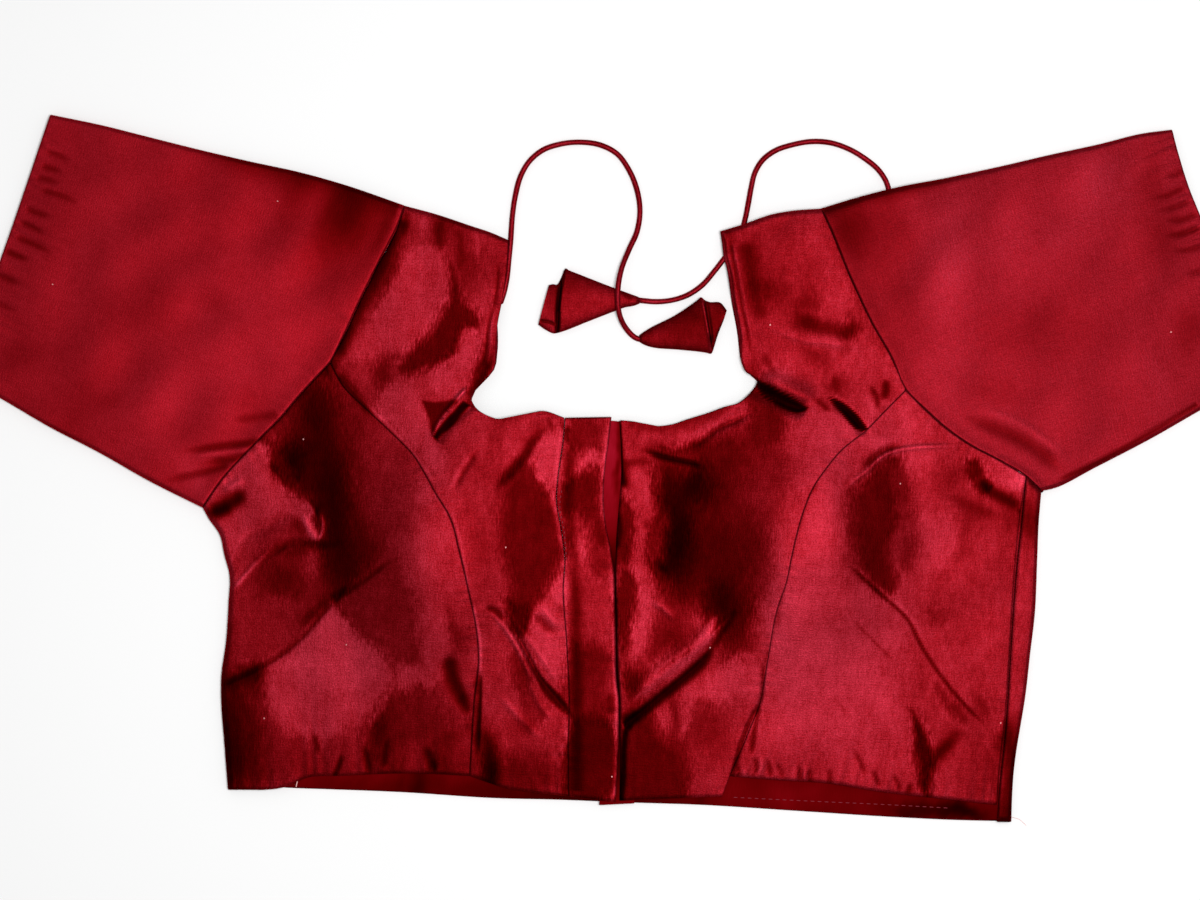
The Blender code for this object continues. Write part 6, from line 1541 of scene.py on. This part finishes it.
def make_cord(name, route, socket, material):
    """A cord: a circle carried along the smooth line through its route, closed with rounded ends.

    Point = middle + r (cos a * sideways + sin a * up), where r shrinks over the last radius at each end.
    """
    half = CORD_DIAMETER / 2
    route = np.array([*route, socket], float)
    route[:, 2] += half + CORD_CLEAR
    middle = rounded(route, CORD_STEP)
    along = unit(np.gradient(middle, axis=0))
    sideways = unit(np.cross(along, [0, 0, 1]))
    up = np.cross(sideways, along)
    passed = passed_along(middle)
    ends = np.minimum(passed, passed[-1] - passed)
    radius = half * np.sqrt(np.clip(1 - (1 - ends / half).clip(0, 1) ** 2, 0.02, 1))
    turn = np.linspace(0, math.tau, 17)[:-1]
    seam = 1 + 0.05 * np.exp(-(((turn[None, :] - 1.0 - 0.004 * passed[:, None]) / 0.35) ** 2))
    size = (radius[:, None] * seam * (1 + 0.02 * np.sin(passed / 5.1))[:, None])[..., None]
    circle = np.cos(turn)[None, :, None] * sideways[:, None] + np.sin(turn)[None, :, None] * up[:, None]
    tube = middle[:, None] + size * circle
    rows, columns = tube.shape[:2]
    points = np.concatenate([tube.reshape(-1, 3), middle[[0, -1]]])
    first, last, base = rows * columns, rows * columns + 1, (rows - 1) * columns
    faces = grid_faces(rows, columns, closed=True).tolist()
    faces += [[first, (j + 1) % columns, j] for j in range(columns)]
    faces += [[last, base + j, base + (j + 1) % columns] for j in range(columns)]
    made = cleaned(linked(name + "_cord", points, faces), bmesh.ops.recalc_face_normals, "faces")
    around = np.concatenate([np.tile(turn * half, rows), [0, 0]])
    run = np.concatenate([np.repeat(passed, columns), passed[[0, -1]]])
    add_grain(made.data, around * MM, run * MM)
    add_values(made.data, "tone", np.zeros(len(points)))
    made.data.materials.append(material)
    settle(made, "cord", name)
    path = (middle * MM).tolist()


def make_latkan(name, rows, flap, creases, blobs, material):
    """A cone of folded cloth, pressed flat: crowned between its edges, with a flap that steps down.

    The flap begins at that part of the length.
    """
    table = np.array(rows, float)
    upper, lower = line(table[:, [0, 1, 2]]), line(table[:, [0, 3, 4]])
    along, across = [spaced(size, LATKAN_STEP, 1.0) for size in (LATKAN_LENGTH, LATKAN_WIDTH)]
    t = across[None, :, None]
    outline = (1 - t) * lower(along)[:, None] + t * upper(along)[:, None]
    x, y = outline[..., 0], outline[..., 1]
    step_down = smooth_step((along - flap) / 0.02)[:, None]
    thick = LATKAN_NECK + (LATKAN_MOUTH - LATKAN_NECK) * np.clip(along / flap, 0, 1)[:, None]
    thick = thick * (1 - 0.42 * step_down)
    crown = 0.5 + 0.5 * np.sin(np.pi * across).clip(0)[None, :] ** 0.3
    height = thick * crown * (0.5 + 0.5 * np.sqrt(np.clip(along / 0.03, 0, 1)))[:, None]
    for rise, _, *route in creases:
        if rise:
            height = height + rise * bell(x, y, *route)
    made = new_shell(name, np.dstack([x, y, height]), np.dstack([x, y, np.full_like(x, CORD_CLEAR)]))
    dress(made, material, GRAIN_TURN, creases, (), blobs, seed=2)
    return settle(made, "silk", name)


def make_stage(settings):
    """Pale floor, soft light from near the camera, a dim even surround, and the camera straight above."""
    corners = FLOOR_HALF / MM * np.array([(-1, -1, 0), (1, -1, 0), (1, 1, 0), (-1, 1, 0)])
    floor = linked("floor", corners, [(0, 1, 2, 3)])
    f = Finish("floor")
    colour = (*settings.floor_colour, 1)
    floor.data.materials.append(f.surface(Base_Color=colour, Roughness=0.9, Specular_IOR_Level=0.1))

    world = bpy.data.worlds.new("studio")
    world.use_nodes = True
    background = world.node_tree.nodes["Background"]
    background.inputs["Color"].default_value = (1, 1, 1, 1)
    background.inputs["Strength"].default_value = settings.surround
    scene = bpy.context.scene
    scene.world = world
    scene.view_settings.view_transform = "Standard"

    light = bpy.data.lights.new("key", "AREA")
    light.shape = "DISK"
    light.size = settings.key_size
    light.energy = settings.key_power
    lamp = bpy.data.objects.new("key", light)
    lamp_height = settings.camera_height - LAMP_BELOW_CAMERA
    lamp.location = (*LAMP_PLACE, lamp_height)
    lamp.rotation_euler = (0, math.atan2(LAMP_PLACE[0], lamp_height), 0)
    scene.collection.objects.link(lamp)

    lens = bpy.data.cameras.new("camera")
    lens.lens = LENS_MM
    lens.sensor_width = SENSOR_MM
    lens.clip_end = VIEW_DEPTH
    camera = bpy.data.objects.new("camera", lens)
    camera.location = (*CAMERA_PLACE, settings.camera_height)
    scene.collection.objects.link(camera)
    scene.camera = camera


class BlouseSilk(PropertyGroup):
    """Colours and finish of the cloth."""

    silk: FloatVectorProperty(
        name="Silk", description="Colour of the silk's sheen", subtype="COLOR", size=3,
        default=(0.178, 0.0041, 0.0081), min=0, max=1,
    )
    # The sleeves' colours are the one silk's, painted for how each sleeve lies to the lamp: a painted sheen,
    # brighter on the left sleeve
    left_sleeve: FloatVectorProperty(
        name="Left sleeve", description="Colour of the left sleeve's sheen, which its lie makes redder",
        subtype="COLOR", size=3, default=(0.24, 0.0054, 0.0112), min=0, max=1,
    )
    right_sleeve: FloatVectorProperty(
        name="Right sleeve", description="Colour of the right sleeve's sheen", subtype="COLOR", size=3,
        default=(0.178, 0.0049, 0.01), min=0, max=1,
    )
    lining: FloatVectorProperty(
        name="Lining", description="Colour of the lining", subtype="COLOR", size=3,
        default=(0.3, 0.004, 0.014), min=0, max=1,
    )
    thread: FloatVectorProperty(
        name="Thread", description="Colour of the stitches", subtype="COLOR", size=3,
        default=(0.2, 0.008, 0.02), min=0, max=1,
    )
    lint: FloatVectorProperty(
        name="Lint", description="Colour of the bits of lint and of the loose thread",
        subtype="COLOR", size=3, default=(0.7, 0.36, 0.34), min=0, max=1,
    )
    slub_contrast: FloatProperty(
        name="Slub contrast", description="How much thick and thin threads differ in brightness",
        default=0.5, min=0, max=2,
    )
    roughness: FloatProperty(
        name="Roughness", description="Width of the silk's highlight", default=0.5, min=0, max=1,
    )
    metallic: FloatProperty(
        name="Sheen share", description="Share of the light that the threads mirror in their own colour",
        default=0.8, min=0, max=1,
    )


class BlouseCut(PropertyGroup):
    """Fineness of the cloth's surface."""

    front_step: FloatProperty(
        name="Front step", description="Distance between points of the front's cloth in millimetres",
        default=1.2, min=0.5, max=10,
    )
    sleeve_step: FloatProperty(
        name="Sleeve step", description="Distance between points of a sleeve's face in millimetres",
        default=1.5, min=0.5, max=10,
    )
    back_step: FloatProperty(
        name="Back step", description="Distance between points of the back in millimetres",
        default=4.0, min=1, max=20,
    )


class BlouseStage(PropertyGroup):
    """Floor, light and camera."""

    floor_colour: FloatVectorProperty(
        name="Floor", description="Colour of the floor", subtype="COLOR", size=3,
        default=(0.9, 0.9, 0.9), min=0, max=1,
    )
    camera_height: FloatProperty(
        name="Camera height", description="Height of the camera above the floor",
        subtype="DISTANCE", unit="LENGTH", default=1.8, min=0.5, max=5,
    )
    key_power: FloatProperty(
        name="Key light", description="Power of the main light in watts", default=22, min=0,
    )
    key_size: FloatProperty(
        name="Key size", description="Width of the main light", subtype="DISTANCE", unit="LENGTH",
        default=0.6, min=0.05, max=3,
    )
    surround: FloatProperty(
        name="Surround", description="Strength of the even light from all sides", default=0.4, min=0, max=5,
    )


def cloth_of(scene, name="raw_silk", colour=None, painted_crumple_strength=1.0, grit=1.0):
    """The silk of that name, made once and then shared, with more or less painted crumple shading and grit.
    """
    silk = scene.blouse_silk
    found = bpy.data.materials.get(name)
    return found or silk_material(
        name, colour or silk.silk, silk.slub_contrast * grit, painted_crumple_strength, silk.roughness, silk.metallic
    )


def lining_of(scene):
    name = "smooth_lining"
    return bpy.data.materials.get(name) or lining_material(name, scene.blouse_silk.lining)


class BLOUSE_OT_stage(Operator):
    """Add the floor, light and camera"""

    bl_idname = "blouse.add_stage"
    bl_label = "Stage"

    def execute(self, context):
        make_stage(context.scene.blouse_stage)
        return {"FINISHED"}


class BLOUSE_OT_cords(Operator):
    """Add the two tie cords and the cloth cones on their ends"""

    bl_idname = "blouse.add_cords"
    bl_label = "Cords and cones"

    def execute(self, context):
        silk = cloth_of(context.scene)
        left_looks, right_looks = (
            (LATKAN_LEFT_CREASES, LATKAN_LEFT_BLOBS),
            (LATKAN_RIGHT_CREASES, LATKAN_RIGHT_BLOBS),
        )
        left = make_latkan("latkan_left", LATKAN_LEFT, 0.765, *left_looks, silk)
        right = make_latkan("latkan_right", LATKAN_RIGHT, 0.71, *right_looks, silk)
        make_cord("dori_left", DORI_LEFT_ROUTE, SOCKET_LEFT, silk)
        make_cord("dori_right", DORI_RIGHT_ROUTE, SOCKET_RIGHT, silk)
        return {"FINISHED"}


class BLOUSE_OT_back(Operator):
    """Add the back panel and the facing in its hem"""

    bl_idname = "blouse.add_back"
    bl_label = "Back"

    def execute(self, context):
        step = context.scene.blouse_cut.back_step
        make_back(cloth_of(context.scene), step)
        make_facing(lining_of(context.scene), FACING_STEP)
        return {"FINISHED"}


class BLOUSE_OT_fronts(Operator):
    """Add the panels of the front and the strip under its opening"""

    bl_idname = "blouse.add_fronts"
    bl_label = "Front"

    def execute(self, context):
        step = context.scene.blouse_cut.front_step
        make_fronts(cloth_of(context.scene), step)
        make_underlap(lining_of(context.scene), UNDERLAP_STEP)
        return {"FINISHED"}


class BLOUSE_OT_threads(Operator):
    """Add the stitches, the lint and the loose thread"""

    bl_idname = "blouse.add_threads"
    bl_label = "Stitches"

    def execute(self, context):
        silk = context.scene.blouse_silk
        make_threads(thread_material("thread", silk.thread), thread_material("lint", silk.lint))
        return {"FINISHED"}


class BLOUSE_OT_sleeves(Operator):
    """Add both sleeves"""

    bl_idname = "blouse.add_sleeves"
    bl_label = "Sleeves"

    def execute(self, context):
        scene = context.scene
        silk = scene.blouse_silk
        # Each sleeve's silk: its own colour of painted sheen, less painted crumple shading, and less grit
        left = cloth_of(scene, "left_sleeve_silk", silk.left_sleeve, painted_crumple_strength=0.3, grit=0.5)
        right = cloth_of(scene, "right_sleeve_silk", silk.right_sleeve, painted_crumple_strength=0.25, grit=0.7)
        make_sleeves(left, right, scene.blouse_cut.sleeve_step)
        return {"FINISHED"}


PIECES = [
    BLOUSE_OT_stage, BLOUSE_OT_cords, BLOUSE_OT_back, BLOUSE_OT_fronts, BLOUSE_OT_sleeves, BLOUSE_OT_threads,
]


class BLOUSE_PT_pieces(Panel):
    """The blouse's pieces, in the 3D view's sidebar"""

    bl_label = "Choli blouse"
    bl_idname = "BLOUSE_PT_pieces"
    bl_space_type = "VIEW_3D"
    bl_region_type = "UI"
    bl_category = "Blouse"

    def draw(self, context):
        for group in (context.scene.blouse_silk, context.scene.blouse_cut, context.scene.blouse_stage):
            for name in group.bl_rna.properties.keys():
                if name not in ("rna_type", "name"):
                    self.layout.prop(group, name)
        for piece in PIECES:
            self.layout.operator(piece.bl_idname)


GROUPS = {"blouse_silk": BlouseSilk, "blouse_cut": BlouseCut, "blouse_stage": BlouseStage}


def register():
    for made in (*GROUPS.values(), *PIECES, BLOUSE_PT_pieces):
        bpy.utils.register_class(made)
    for name, group in GROUPS.items():
        setattr(bpy.types.Scene, name, PointerProperty(type=group))


def unregister():
    for name in GROUPS:
        delattr(bpy.types.Scene, name)
    for made in (BLOUSE_PT_pieces, *reversed(PIECES), *GROUPS.values()):
        bpy.utils.unregister_class(made)


def main():
    register()
    bpy.ops.blouse.add_stage()
    bpy.ops.blouse.add_cords()
    bpy.ops.blouse.add_back()
    bpy.ops.blouse.add_fronts()
    bpy.ops.blouse.add_sleeves()
    bpy.ops.blouse.add_threads()


if __name__ == "__main__":
    main()
